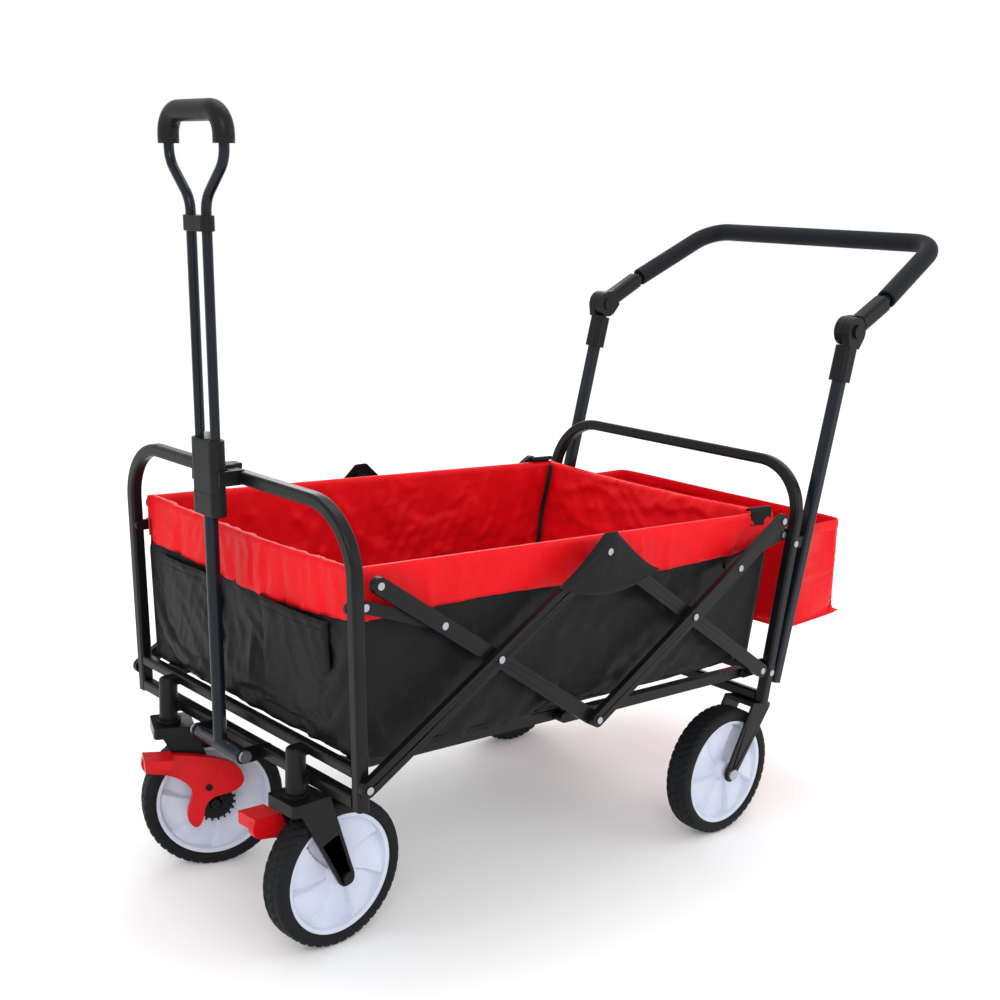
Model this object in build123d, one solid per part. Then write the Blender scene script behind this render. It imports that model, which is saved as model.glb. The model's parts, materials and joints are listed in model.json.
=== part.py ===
from build123d import *
import os
from math import acos, atan2, cos, degrees, hypot, radians, sin, tan

# Folding camp wagon: a fabric tub hung between two tube hoops that a double scissor frame pulls
# together, on two front casters and two fixed rear wheels, with a telescoping pull handle in front
# and a tilting push handle behind.  Millimetres and degrees.  +X runs to the rear, +Y to the
# right, +Z up, with the floor at Z = 0.  Side-plane points are (x, z) pairs.

os.makedirs("parts", exist_ok=True)

# ---------------------------------------------------------------------------- driving dimensions
HALF_WIDTH = 250.0          # centreline of the wagon to the centreline of a leg
TUBE = 16.0                 # frame tube, rounded square
TUBE_CORNER = 4.0
TUBE_WALL = 1.2
HOOP_BEND = 78.0            # centreline radius of the hoop corners
CROSS_TUBE = 14.0           # upper cross tubes and base rails

FRONT_LEAN = -2.9           # hoop planes, degrees back from upright
REAR_LEAN = 9.9
FRONT_FOOT = 217.0          # height of the leg ends
FRONT_TOP = 565.0           # centreline height of the hoop bars
FRONT_TUBE_RISE = 44.0      # leg end to the upper cross tube
REAR_FOOT = 190.0
REAR_TOP = 535.0

FRONT_PIVOT = (0.0, 247.0)  # outer front link on the front leg
OUTER_LINK = 431.0          # front leg pivot to the top vertex
OUTER_SLOPE = 31.3
INNER_LINK = 414.0          # top vertex to the rear leg pivot
INNER_SLOPE = 33.5
OUTER_CROSS = 224.0         # front leg pivot to the front crossing rivet
INNER_CROSS = 208.0         # top vertex to the rear crossing rivet
FRONT_STAY_AT = 96.0        # crossing rivet to the stay rivet, along the inner front link
REAR_STAY_AT = 105.0
FRONT_TAIL = 208.0          # crossing rivet to the free top end
REAR_TAIL = 211.0
FRONT_STAY_PIVOT = (5.5, 453.0)
REAR_STAY_BACK = 16.0       # rear stay pivot, ahead of the rear leg centreline
REAR_STAY_Z = 438.0
REAR_PIVOT_AHEAD = 20.7     # rear leg pivot, ahead of the rear leg centreline
FOLD_TRAVEL = 46.0          # turn of the outer front links; the casters still clear the rear wheels
INNER_FOLDED_SLOPE = 79.5   # slope of the inner links when folded

LINK_WIDTH = 20.0
LINK_THICK = 9.0
LINK_WALL = 1.4
CAP_LENGTH = 22.0           # plastic cap on a free link end
STAY_WIDTH = 14.0
STAY_THICK = 6.0
TAB_THICK = 3.6
RIVET_R = 3.0
RIVET_HEAD_R = 4.6
RIVET_HEAD = 1.6            # height of a head in the open
FLUSH_HEAD = 0.6            # height of a head between two layers
PIN_FIT = 0.05              # radial clearance of a pin in its link
VERTEX_FIT = 0.4            # radial clearance at the vertex where the two scissors meet
FACE_GAP = 0.5              # between flat faces that slide past each other

RAIL_FRONT = (14.0, 254.0)  # base rail hinges
RAIL_REAR_AHEAD = 30.0      # rear rail hinge, ahead of the rear leg centreline
RAIL_REAR_Z = 234.0
RAIL_IN = 45.0              # legs to the front rails; the rear rails run just outside them
RAIL_PASS = 2.0             # gap between the rails where they pass
RAIL_LAP = 16.0             # each rail runs this far past the middle hinge

WHEEL_R = 93.5
TYRE_WIDTH = 38.0
TYRE_DEPTH = 17.5           # tread to bead
TYRE_BEAD = (3.0, 2.0)      # chamfer at the bead, radially and across
TYRE_SHOULDER = [(7.0, 0.0), (2.0, 5.0), (0.0, 11.0)]   # in from the crown and in from the side
AXLE_R = 6.0
REAR_WHEEL_IN = 25.0        # rear wheels, in from the legs
REAR_AXLE_AHEAD = 60.0      # rear axle, ahead of the rear leg foot
FORK_GAP = 4.5              # tyre side to fork arm
FORK_PLATE = 4.0
FORK_END_R = 12.0
AXLE_NUT_R = 8.0
AXLE_NUT = 5.0
REAR_CROWN = 7.0
REAR_CROWN_LENGTH = 40.0
HUB_BOSS_R = 15.0
HUB_RIM_WIDTH = 6.0
HUB_WEB = 3.0
HUB_RECESS = 1.0            # hub boss face, inside the tyre's side
HUB_VANES = 7
HUB_VANE_SWEEP = 9.0
HUB_VANE_ROOT = 4.0         # width of a vane at the boss
HUB_VANE_INSET = 4.0        # vane faces, inside the tyre's sides
HUB_RIM_INSET = 3.0
HUB_RIM_FLARE = 2.0

CASTER_X = -20.0
CASTER_OFFSET = 150.0
CASTER_TRAIL = 57.0
CASTER_TURN = {"left": 3.0, "right": -22.0}     # steering at rest, seen from above
CROWN_GAP = 3.0             # front tyre to the fork's crown
CROWN_THICK = 15.0
STEM_R = 6.5
SOCKET_R = 12.0
SOCKET_TOP = 266.0
SOCKET_TOP_ROUND = 4.0
SOCKET_FLANGE = 4.0
SOCKET_BRACKET = 18.0
SOCKET_CAP = 4.0

BRAKE_TEETH = 20
BRAKE_RING_R = 28.0
BRAKE_RING_WIDTH = 3.4
BRAKE_TOOTH = 3.4           # height of a tooth
BRAKE_TOOTH_WIDTH = 2.6
BRAKE_RING_BORE = 7.0
PEDAL_PIVOT = (-10.0, 28.0)  # from the axle, in the caster's own plane
PEDAL_THICK = 10.0
PEDAL_TREAD_WIDTH = 34.0
PEDAL_TRAVEL = 16.0
PEDAL_OUTLINE = [(-90.0, 80.0), (-50.0, 77.0), (-15.0, 71.0), (14.0, 62.0), (33.0, 46.0), (36.0, 32.0),
                 (22.0, 19.0), (-3.0, 13.0), (-14.0, 2.0), (-17.0, -14.0), (-26.0, -27.0), (-36.0, -18.0),
                 (-36.0, 2.0), (-32.0, 24.0), (-44.0, 40.0), (-72.0, 52.0), (-92.0, 58.0), (-97.0, 69.0)]
PEDAL_TREAD = [(-95.0, 82.0), (-58.0, 80.0), (-58.0, 68.0), (-94.0, 66.0)]
PEDAL_PAWL = (-28.0, -20.2)
PAWL_R = 1.2
PAWL_FIT = 0.4              # pawl to the tooth that it stops
CASTER_CROWN_X = (-22.0, 31.0)
CASTER_ARM_X = (-11.0, 31.0)
CASTER_ARM_INSET = 1.0      # arm tops, inside the crown's faces
CASTER_CROWN_CORNER = 6.0
CASTER_NUT_R = 6.5

HANDLE_PIVOT = (-31.0, 225.0)
HANDLE_LEAN = -2.3
HANDLE_TUBE_R = 8.5
ROD_R = 6.0
ROD_WALL = 1.2
ROD_SPACING = 34.8
ROD_FOOT = 362.0            # heights along the handle, from its pivot
CLAMP_HEIGHT = 18.0
FLARE_FROM = 660.0
FLARE_TO = 704.0
GRIP_AT = 758.0
GRIP_SPREAD = 122.0
GRIP_R = 12.3
GRIP_FOOT = 722.0
GRIP_BEND = 26.0
FLARE_BEND = 34.0
COLLAR_FROM = 293.0
WAIST_FROM = 320.0
BLOCK_FROM = 348.0
BLOCK_TO = 385.0
SLIDE_TRAVEL = 230.0
SLIDE_STOP = 2.0            # clamp above the button when the rods are pushed in
SLIDE_FIT = 0.1
BARREL_HALF = 50.0
BARREL_R = 9.0
BUTTON_R = 4.0
BUTTON_TRAVEL = 4.0
BUTTON_CAP = 4.0            # what still stands out when the button is pressed
HANDLE_BOLT_R = 4.0
EAR_THICK = 4.0
EAR_WIDTH = 20.0
CLIP_HEIGHT = 18.0
CLIP_PRONG = 3.6
CLIP_WALL = 3.5
CLIP_HOOK = 20.0            # how far each side of the clip reaches in over the bar
CLIP_SADDLE_HALF = 12.0
HOUSING_WIDE = 10.5         # half depth of the block and collar
HOUSING_WAIST = 10.0
HOUSING_ROUND = 1.5
CLAMP_WALL = 3.0
BUTTON_ROOT = 10.0          # how far the button reaches into the block

PUSH_TUBE = 17.0
PUSH_LEAN = 12.8
PUSH_BEHIND = 20.2          # push tube behind the rear leg, at its foot
PUSH_FOOT_Z = 217.0
PUSH_JOINT_Z = 728.0
PUSH_SOCKET_DOWN = 74.0      # how far the lower socket reaches down the tube
PUSH_SOCKET_WIDTH = 26.0
PUSH_NECK = 22.5             # joint centre to the full-width part of each socket
PUSH_PIN_R = 5.0
PUSH_DISC_R = 21.0
PUSH_ARM_SLOPE = 27.1
PUSH_ARM = 274.0
PUSH_BAR_IN = 22.0          # how far each arm of the push bar leans in
PUSH_BAR_BEND = 46.0
PUSH_BAR_R = 8.5
ARM_KINK_BEND = 100.0
PUSH_SOCKET_UP = 84.0
FOAM_R = 14.5
FOAM_FROM = 97.0
ARM_KINK = 90.0              # where the arms start to lean inwards
RATCHET_BUTTON_R = 10.0
RATCHET_BUTTON_STAND = 4.0
RATCHET_TRAVEL = 3.0
RATCHET_SUNK = 3.0           # how far a button reaches into its socket
PUSH_SOCKET_CORNER = 7.0
PUSH_ARM_CORNER = 9.0
PUSH_SOCKET_END = 2.0        # wall between a tube's end and the joint
PUSH_BAR_END = 6.0

PUSH_BOLTS = (236.0, 425.0)
BRACKET_HALF = 5.0

TUB_CLEAR = 2.8             # fabric side walls, inside the frame's inmost plates
CLOTH = 2.0
TUB_FLOOR = (268.0, 258.0)  # heights at the front and rear
TUB_RIM = (499.0, 475.0)
TUB_FRONT = (10.0, -4.0)    # x at the floor and at the rim
TUB_REAR_AHEAD = 32.0       # rear wall, ahead of the rear leg centreline
BAG_IN = 15.0
BAG_BEHIND = 30.0           # bag front, behind the push tube centreline
BAG_HEIGHTS = (282.0, 440.0)
BAG_DROP = 6.0              # rise of the bag's bottom towards the back
BAG_DEPTHS = (141.0, 89.0)  # front to back, at the bottom and at the mouth
FLAP_CORNERS = [(-86.0, -35.0), (0.0, 24.0), (92.0, -35.0), (4.0, -54.0)]     # from the top vertex


# ---------------------------------------------------------------------------- geometry helpers
def along(start, slope, distance):
    """Side-plane point at a distance from start, up a slope."""
    return (start[0] + distance * cos(radians(slope)), start[1] + distance * sin(radians(slope)))


def leaning(foot, lean, height):
    """X at a height on a line that leans back from foot."""
    return foot[0] + (height - foot[1]) * tan(radians(lean))


def gap(start, end):
    return hypot(end[0] - start[0], end[1] - start[1])


def slope_of(start, end):
    return degrees(atan2(end[1] - start[1], end[0] - start[0]))


def side_prism(sketch, near, far):
    """Prism of a side-plane sketch between two distances to the left of the centreline."""
    base = Plane(origin=(0, -near, 0), x_dir=(1, 0, 0), z_dir=(0, -1, 0))
    return extrude(base * sketch, amount=far - near)


def bar_sketch(start, end, width):
    """Round-ended bar outline between two side-plane points."""
    middle = Pos((start[0] + end[0]) / 2, (start[1] + end[1]) / 2)
    return middle * Rot(0, 0, slope_of(start, end)) * SlotCenterToCenter(gap(start, end), width)


def side_bar(start, end, width, near, far):
    return side_prism(bar_sketch(start, end, width), near, far)


def side_disc(centre, radius, near, far):
    return side_prism(Pos(*centre) * Circle(radius), near, far)


def side_plate(points, near, far):
    return side_prism(make_face(Polyline(*points, close=True)), near, far)


def block(low, high):
    """Box between two opposite corners."""
    size = [high[i] - low[i] for i in range(3)]
    centre = [(high[i] + low[i]) / 2 for i in range(3)]
    return Pos(*centre) * Box(*size)


def mirrored(shape):
    return mirror(shape, about=Plane.XZ)


def pair(shape):
    """A left piece and its right-hand twin."""
    return [shape, mirrored(shape)]


def swept(path, outline, across):
    """Outline swept along a path; across is the outline's own x direction at the start."""
    return sweep(Plane(origin=path @ 0, x_dir=across, z_dir=path % 0) * outline, path=path)


def square_tube(width, corner, wall):
    return RectangleRounded(width, width, corner) - RectangleRounded(
        width - 2 * wall, width - 2 * wall, corner - wall)


def round_tube(radius, wall):
    return Circle(radius) - Circle(radius - wall)


def rivet(centre, near, far, near_head=0.0, far_head=0.0):
    """Pin through a stack of layers, with a head beyond each end that has one."""
    pin = side_disc(centre, RIVET_R, near, far)
    if near_head:
        pin += side_disc(centre, RIVET_HEAD_R, near - near_head, near)
    if far_head:
        pin += side_disc(centre, RIVET_HEAD_R, far, far + far_head)
    return pin


def link(start, end, holes, near, far, width=LINK_WIDTH, tail=0.0):
    """Hollow round-ended bar with pin holes; holes are (point, clearance) pairs."""
    finish = along(end, slope_of(start, end), tail)
    bar = side_bar(start, finish, width, near, far)
    bar -= side_bar(start, finish, width - 2 * LINK_WALL, near + LINK_WALL, far - LINK_WALL)
    for centre, clearance in holes:
        bar -= side_disc(centre, RIVET_R + clearance, near - 1, far + 1)
    return bar


# ---------------------------------------------------------------------------- places
front_foot = (leaning(FRONT_PIVOT, FRONT_LEAN, FRONT_FOOT), FRONT_FOOT)
top_vertex = along(FRONT_PIVOT, OUTER_SLOPE, OUTER_LINK)
front_crossing = along(FRONT_PIVOT, OUTER_SLOPE, OUTER_CROSS)
low_vertex = along(front_crossing, -INNER_SLOPE, INNER_CROSS)
front_stay_rivet = along(front_crossing, 180 - INNER_SLOPE, FRONT_STAY_AT)
front_tail = along(front_crossing, 180 - INNER_SLOPE, FRONT_TAIL)
rear_crossing = along(top_vertex, -INNER_SLOPE, INNER_CROSS)
rear_pivot = along(top_vertex, -INNER_SLOPE, INNER_LINK)
rear_stay_rivet = along(rear_crossing, OUTER_SLOPE, REAR_STAY_AT)
rear_tail = along(rear_crossing, OUTER_SLOPE, REAR_TAIL)

rear_leg_base = (rear_pivot[0] + REAR_PIVOT_AHEAD, rear_pivot[1])
rear_foot = (leaning(rear_leg_base, REAR_LEAN, REAR_FOOT), REAR_FOOT)
rear_stay_pivot = (leaning(rear_leg_base, REAR_LEAN, REAR_STAY_Z) - REAR_STAY_BACK, REAR_STAY_Z)
rear_axle = (rear_foot[0] - REAR_AXLE_AHEAD, WHEEL_R)
rail_rear = (leaning(rear_leg_base, REAR_LEAN, RAIL_REAR_Z) - RAIL_REAR_AHEAD, RAIL_REAR_Z)
rail_length = gap(RAIL_FRONT, rail_rear) / 2
push_foot = (leaning(rear_leg_base, REAR_LEAN, PUSH_FOOT_Z) + PUSH_BEHIND, PUSH_FOOT_Z)
push_joint = (leaning(push_foot, PUSH_LEAN, PUSH_JOINT_Z), PUSH_JOINT_Z)

front_lower = (leaning(FRONT_PIVOT, FRONT_LEAN, FRONT_FOOT + TUBE / 2), FRONT_FOOT + TUBE / 2)
front_upper = (leaning(FRONT_PIVOT, FRONT_LEAN, FRONT_FOOT + FRONT_TUBE_RISE), FRONT_FOOT + FRONT_TUBE_RISE)
rear_lower = (leaning(rear_leg_base, REAR_LEAN, REAR_FOOT + TUBE / 2), REAR_FOOT + TUBE / 2)
rear_upper = (leaning(rear_leg_base, REAR_LEAN, RAIL_REAR_Z), RAIL_REAR_Z)

# layers to the left of the centreline, from the outside in: outer links, inner links, stays, tabs
leg_face = HALF_WIDTH + TUBE / 2
outer_near = leg_face + FACE_GAP
outer_far = outer_near + LINK_THICK
inner_far = outer_near - 2 * FACE_GAP
inner_near = inner_far - LINK_THICK
leg_inner = HALF_WIDTH - TUBE / 2
tab_far = min(inner_near - FLUSH_HEAD - STAY_THICK - 4 * FACE_GAP, leg_inner - FACE_GAP)
tab_near = tab_far - TAB_THICK
stay_near = tab_far + FACE_GAP
stay_far = stay_near + STAY_THICK

RAIL_OFFSET = HALF_WIDTH - RAIL_IN
REAR_WHEEL_OFFSET = HALF_WIDTH - REAR_WHEEL_IN
PUSH_BAR_HALF = HALF_WIDTH - PUSH_BAR_IN
TUB_HALF = tab_near - TUB_CLEAR
BAG_HALF = HALF_WIDTH - BAG_IN
TYRE_BEAD_R = WHEEL_R - TYRE_DEPTH
HUB_RIM_R = TYRE_BEAD_R - HUB_RIM_WIDTH
CASTER_CROWN = (2 * WHEEL_R + CROWN_GAP, 2 * WHEEL_R + CROWN_GAP + CROWN_THICK)


def folded_point(start, slope_a, turn_a, length_a, slope_b, turn_b, length_b):
    """End of two bars in a chain after each has turned."""
    return along(along(start, slope_a + turn_a, length_a), slope_b + turn_b, length_b)


# inner front and inner rear links turn down by this share of the outer links' turn
INNER_SHARE = (INNER_FOLDED_SLOPE - INNER_SLOPE) / FOLD_TRAVEL
inner_turn = -INNER_SHARE * FOLD_TRAVEL
rear_pivot_folded = folded_point(
    FRONT_PIVOT, OUTER_SLOPE, FOLD_TRAVEL, OUTER_LINK, -INNER_SLOPE, inner_turn, INNER_LINK)
rear_shift = (rear_pivot_folded[0] - rear_pivot[0], rear_pivot_folded[1] - rear_pivot[1])
front_stay_folded = folded_point(
    FRONT_PIVOT, OUTER_SLOPE, FOLD_TRAVEL, OUTER_CROSS, 180 - INNER_SLOPE, inner_turn, FRONT_STAY_AT)
rear_crossing_folded = folded_point(
    FRONT_PIVOT, OUTER_SLOPE, FOLD_TRAVEL, OUTER_LINK, -INNER_SLOPE, inner_turn, INNER_CROSS)
rear_stay_folded = along(rear_crossing_folded, OUTER_SLOPE + FOLD_TRAVEL, REAR_STAY_AT)
rear_stay_home = (rear_stay_folded[0] - rear_shift[0], rear_stay_folded[1] - rear_shift[1])
rail_rear_folded = (rail_rear[0] + rear_shift[0], rail_rear[1] + rear_shift[1])
rail_rise = degrees(acos(gap(RAIL_FRONT, rail_rear_folded) / 2 / rail_length))

# how far each follower turns for one degree of the outer front links, about the same axis
turn_of = {
    "inner": -INNER_SHARE,
    "front_stay": (slope_of(FRONT_STAY_PIVOT, front_stay_folded)
                   - slope_of(FRONT_STAY_PIVOT, front_stay_rivet)) / FOLD_TRAVEL,
    "rear_stay": (slope_of(rear_stay_pivot, rear_stay_home) % 360
                  - slope_of(rear_stay_pivot, rear_stay_rivet) % 360) / FOLD_TRAVEL,
    "front_rail": (slope_of(RAIL_FRONT, rail_rear_folded) + rail_rise
                   - slope_of(RAIL_FRONT, rail_rear)) / FOLD_TRAVEL,
    "rear_rail": (slope_of(RAIL_FRONT, rail_rear_folded) - rail_rise
                  - slope_of(RAIL_FRONT, rail_rear)) / FOLD_TRAVEL,
}


# ---------------------------------------------------------------------------- frames
def hoop(foot, lean, top):
    """Inverted U of square tube in a leaning plane."""
    rise = (top - foot[1]) / cos(radians(lean))
    path = Plane(origin=(foot[0], 0, foot[1]), x_dir=(0, 1, 0),
                 z_dir=(cos(radians(lean)), 0, -sin(radians(lean)))) * FilletPolyline(
        (-HALF_WIDTH, 0), (-HALF_WIDTH, rise), (HALF_WIDTH, rise), (HALF_WIDTH, 0), radius=HOOP_BEND)
    return swept(path, square_tube(TUBE, TUBE_CORNER, TUBE_WALL), (0, 1, 0))


def cross_tube(centre, width, lean):
    """Tube between the legs' inner faces, square to a leaning leg."""
    base = Plane(origin=(centre[0], -leg_inner, centre[1]), x_dir=(cos(radians(lean)), 0, -sin(radians(lean))),
                 z_dir=(0, 1, 0))
    return extrude(base * square_tube(width, TUBE_CORNER, TUBE_WALL), amount=2 * leg_inner)


def tube_envelope(centre, width, lean):
    """Solid outer shape of a cross tube, to trim what is welded to it."""
    return side_prism(Pos(*centre) * Rot(0, 0, -lean) * RectangleRounded(width, width, TUBE_CORNER),
                      -HALF_WIDTH, HALF_WIDTH)


def leg_tab(pivot, leg_x, reach, thick=TAB_THICK):
    """Plate inside a leg that carries a pivot, with a pad that meets the leg's inner face."""
    plate = side_bar((leg_x, pivot[1]), pivot, reach, tab_far - thick, tab_far)
    pad = side_disc((leg_x, pivot[1]), TUBE / 2 - 1, tab_far, leg_inner)
    return plate + pad


def front_frame():
    leg_x = leaning(FRONT_PIVOT, FRONT_LEAN, FRONT_STAY_PIVOT[1])
    rail_side = RAIL_OFFSET - CROSS_TUBE / 2 - FACE_GAP
    lug = side_bar(front_upper, RAIL_FRONT, CROSS_TUBE, rail_side - TAB_THICK, rail_side)
    lug -= tube_envelope(front_upper, CROSS_TUBE, FRONT_LEAN)
    tabs = pair(leg_tab(FRONT_STAY_PIVOT, leg_x, STAY_WIDTH)) + pair(biggest(lug))
    pins = pair(rivet(FRONT_PIVOT, leg_face, outer_far + FACE_GAP, 0, RIVET_HEAD))
    pins += pair(rivet(FRONT_STAY_PIVOT, tab_far, stay_far + FACE_GAP, 0, FLUSH_HEAD))
    pins += pair(rivet(RAIL_FRONT, rail_side, RAIL_OFFSET + CROSS_TUBE / 2))
    return {"front_hoop": [hoop(front_foot, FRONT_LEAN, FRONT_TOP)],
            "front_cross_tubes": [cross_tube(front_lower, TUBE, FRONT_LEAN),
                                  cross_tube(front_upper, CROSS_TUBE, FRONT_LEAN)],
            "front_link_tabs": tabs, "front_rivets": pins}


def biggest(shape):
    """Largest solid of a cut shape."""
    return shape.solids().sort_by(SortBy.VOLUME)[-1]


def upright(radius, low, high, x, y):
    return Pos(x, y) * extrude(Plane.XY.offset(low) * Circle(radius), amount=high - low)


def caster_sockets():
    """Stem sleeves in front of the cross tubes, each on two brackets welded to them."""
    foot = CASTER_CROWN[1] + FACE_GAP
    place = (CASTER_X, -CASTER_OFFSET)
    sleeve = fillet(upright(SOCKET_R, foot, SOCKET_TOP, *place).edges().group_by(Axis.Z)[-1], SOCKET_TOP_ROUND)
    sleeve += upright(SOCKET_R + SOCKET_FLANGE, foot, foot + SOCKET_FLANGE, *place)
    half = SOCKET_BRACKET / 2
    for centre, width in ((front_lower, TUBE), (front_upper, CROSS_TUBE)):
        bracket = block((CASTER_X, -CASTER_OFFSET - half, centre[1] - width / 2 + 2),
                        (centre[0], -CASTER_OFFSET + half, centre[1] + width / 2 - 2))
        sleeve += biggest(bracket - tube_envelope(centre, width, FRONT_LEAN))
    for centre, width in ((front_lower, TUBE), (front_upper, CROSS_TUBE)):
        sleeve -= tube_envelope(centre, width, FRONT_LEAN)
    sleeve = biggest(sleeve)
    sleeve -= upright(STEM_R + PIN_FIT, foot - 1, SOCKET_TOP - SOCKET_CAP, *place)
    return {"caster_sockets": pair(sleeve)}


# ---------------------------------------------------------------------------- scissor
def beyond(point, slope):
    """Everything past a point, along a slope, through all link layers."""
    square = Rectangle(3 * LINK_WIDTH, 3 * LINK_WIDTH, align=(Align.MIN, Align.CENTER))
    return side_prism(Pos(*point) * Rot(0, 0, slope) * square, inner_near - 1, outer_far + 1)


def capped(bar, start, end, slope, near, far):
    """Split a link's free end off as a solid plastic cap."""
    region = beyond(along(end, slope, LINK_WIDTH / 2 - CAP_LENGTH), slope)
    return bar - region, side_bar(start, end, LINK_WIDTH, near, far) & region


def scissor():
    """Eight links, four a side, and their rivets, each body's in its own node."""
    outer_head = outer_far + FACE_GAP
    outer_front = link(FRONT_PIVOT, top_vertex, [(FRONT_PIVOT, PIN_FIT), (front_crossing, 0), (top_vertex, 0)],
                       outer_near, outer_far)
    inner_front = link(low_vertex, front_tail, [(low_vertex, 0), (front_crossing, PIN_FIT)],
                       inner_near, inner_far)
    inner_rear = link(top_vertex, rear_pivot,
                      [(top_vertex, PIN_FIT), (rear_crossing, 0), (rear_pivot, PIN_FIT)], inner_near, inner_far)
    outer_rear = link(low_vertex, rear_tail, [(low_vertex, VERTEX_FIT), (rear_crossing, PIN_FIT)],
                      outer_near, outer_far)
    inner_front, front_cap = capped(
        inner_front, low_vertex, front_tail, 180 - INNER_SLOPE, inner_near, inner_far)
    outer_rear, rear_cap = capped(outer_rear, low_vertex, rear_tail, OUTER_SLOPE, outer_near, outer_far)

    outer_front_pins, inner_front_pins, outer_rear_pins = [], [], []
    for centre in (front_crossing, top_vertex):
        outer_front_pins += pair(rivet(centre, inner_near - FACE_GAP, outer_far, FLUSH_HEAD, RIVET_HEAD))
    inner_front_pins += pair(rivet(low_vertex, inner_near, outer_head, FLUSH_HEAD, RIVET_HEAD))
    for centre in (front_stay_rivet, front_tail):
        inner_front_pins += pair(side_disc(centre, RIVET_HEAD_R, inner_far, inner_far + FLUSH_HEAD))
    for centre in (rear_stay_rivet, rear_tail):
        outer_rear_pins += pair(side_disc(centre, RIVET_HEAD_R, outer_far, outer_far + RIVET_HEAD))
    inner_rear_pins = pair(rivet(rear_crossing, inner_near, outer_head, FLUSH_HEAD, RIVET_HEAD))
    return {"outer_front_links": pair(outer_front), "outer_front_rivets": outer_front_pins,
            "inner_front_links": pair(inner_front), "inner_front_caps": pair(front_cap),
            "inner_front_rivets": inner_front_pins,
            "inner_rear_links": pair(inner_rear), "inner_rear_rivets": inner_rear_pins,
            "outer_rear_links": pair(outer_rear), "outer_rear_caps": pair(rear_cap),
            "outer_rear_rivets": outer_rear_pins}


def stays():
    """Short links from the legs to the inner front and outer rear links."""
    front = link(FRONT_STAY_PIVOT, front_stay_rivet, [(FRONT_STAY_PIVOT, PIN_FIT)],
                 stay_near, stay_far, STAY_WIDTH)
    rear = link(rear_stay_pivot, rear_stay_rivet, [(rear_stay_pivot, PIN_FIT)],
                stay_near, stay_far, STAY_WIDTH)
    return {"front_stays": pair(front), "rear_stays": pair(rear)}


def base_rails():
    """Folding rails under the tub: the front pair runs just inside the rear pair."""
    slope = slope_of(RAIL_FRONT, rail_rear)
    front_near = RAIL_OFFSET - CROSS_TUBE / 2
    rear_near = front_near + CROSS_TUBE + RAIL_PASS
    front = link(RAIL_FRONT, along(RAIL_FRONT, slope, rail_length), [(RAIL_FRONT, PIN_FIT)], front_near,
                 front_near + CROSS_TUBE, CROSS_TUBE, tail=RAIL_LAP)
    rear = link(rail_rear, along(rail_rear, 180 + slope, rail_length), [(rail_rear, PIN_FIT)], rear_near,
                rear_near + CROSS_TUBE, CROSS_TUBE, tail=RAIL_LAP)
    return {"base_rails_front": pair(front), "base_rails_rear": pair(rear)}


# ---------------------------------------------------------------------------- rear frame
def rear_frame():
    leg_x = leaning(rear_leg_base, REAR_LEAN, REAR_STAY_Z)
    rail_side = RAIL_OFFSET + CROSS_TUBE / 2 + RAIL_PASS + CROSS_TUBE + FACE_GAP
    lug = side_bar(rear_upper, rail_rear, CROSS_TUBE, rail_side, rail_side + TAB_THICK)
    lug -= tube_envelope(rear_upper, CROSS_TUBE, REAR_LEAN)
    pivot_tab = side_bar((rear_leg_base[0], rear_pivot[1]), rear_pivot, LINK_WIDTH, tab_near, tab_far)
    pivot_tab += side_disc((rear_leg_base[0], rear_pivot[1]), TUBE / 2 - 1, tab_far, leg_inner)
    pivot_tab -= tube_envelope(rear_upper, CROSS_TUBE, REAR_LEAN)
    tabs = pair(biggest(lug)) + pair(biggest(pivot_tab)) + pair(leg_tab(rear_stay_pivot, leg_x, STAY_WIDTH))
    pins = pair(rivet(rear_pivot, tab_far, inner_far, 0, FLUSH_HEAD))
    pins += pair(rivet(rear_stay_pivot, tab_far, stay_far + FACE_GAP, 0, FLUSH_HEAD))
    pins += pair(rivet(rail_rear, rail_side - CROSS_TUBE - FACE_GAP, rail_side))
    for height in PUSH_BOLTS:
        leg_at = leaning(rear_leg_base, REAR_LEAN, height)
        pins += pair(side_disc((leg_at, height), RIVET_HEAD_R, leg_face, leg_face + RIVET_HEAD))
    return {"rear_hoop": [hoop(rear_foot, REAR_LEAN, REAR_TOP)],
            "rear_cross_tubes": [cross_tube(rear_lower, TUBE, REAR_LEAN),
                                 cross_tube(rear_upper, CROSS_TUBE, REAR_LEAN)],
            "rear_brackets": tabs + push_brackets(), "rear_rivets": pins + rear_axles()}


def fork_arms(crown, axle, near, far):
    """Two tapered plates, one each side of a wheel, from a crown outline down to the axle."""
    arm = make_hull([*(Pos(*axle) * Circle(FORK_END_R)).edges(), *crown.edges()])
    return [side_prism(arm, near - FORK_PLATE, near), side_prism(arm, far, far + FORK_PLATE)]


def rear_forks():
    """Pressed forks under the rear feet, with the axle bolts of the fixed rear wheels."""
    near = REAR_WHEEL_OFFSET - TYRE_WIDTH / 2 - FORK_GAP
    far = REAR_WHEEL_OFFSET + TYRE_WIDTH / 2 + FORK_GAP
    crown_outline = Pos(*rear_foot) * Rot(0, 0, -REAR_LEAN) * Pos(0, -REAR_CROWN / 2) * Rectangle(
        REAR_CROWN_LENGTH, REAR_CROWN)
    arms = fork_arms(crown_outline, rear_axle, near, far)
    fork = side_prism(crown_outline, near - FORK_PLATE, far + FORK_PLATE) + arms[0] + arms[1]
    fork -= side_disc(rear_axle, AXLE_R, near - 2 * FORK_PLATE, far + 2 * FORK_PLATE)
    return {"rear_forks": pair(fork)}


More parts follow.
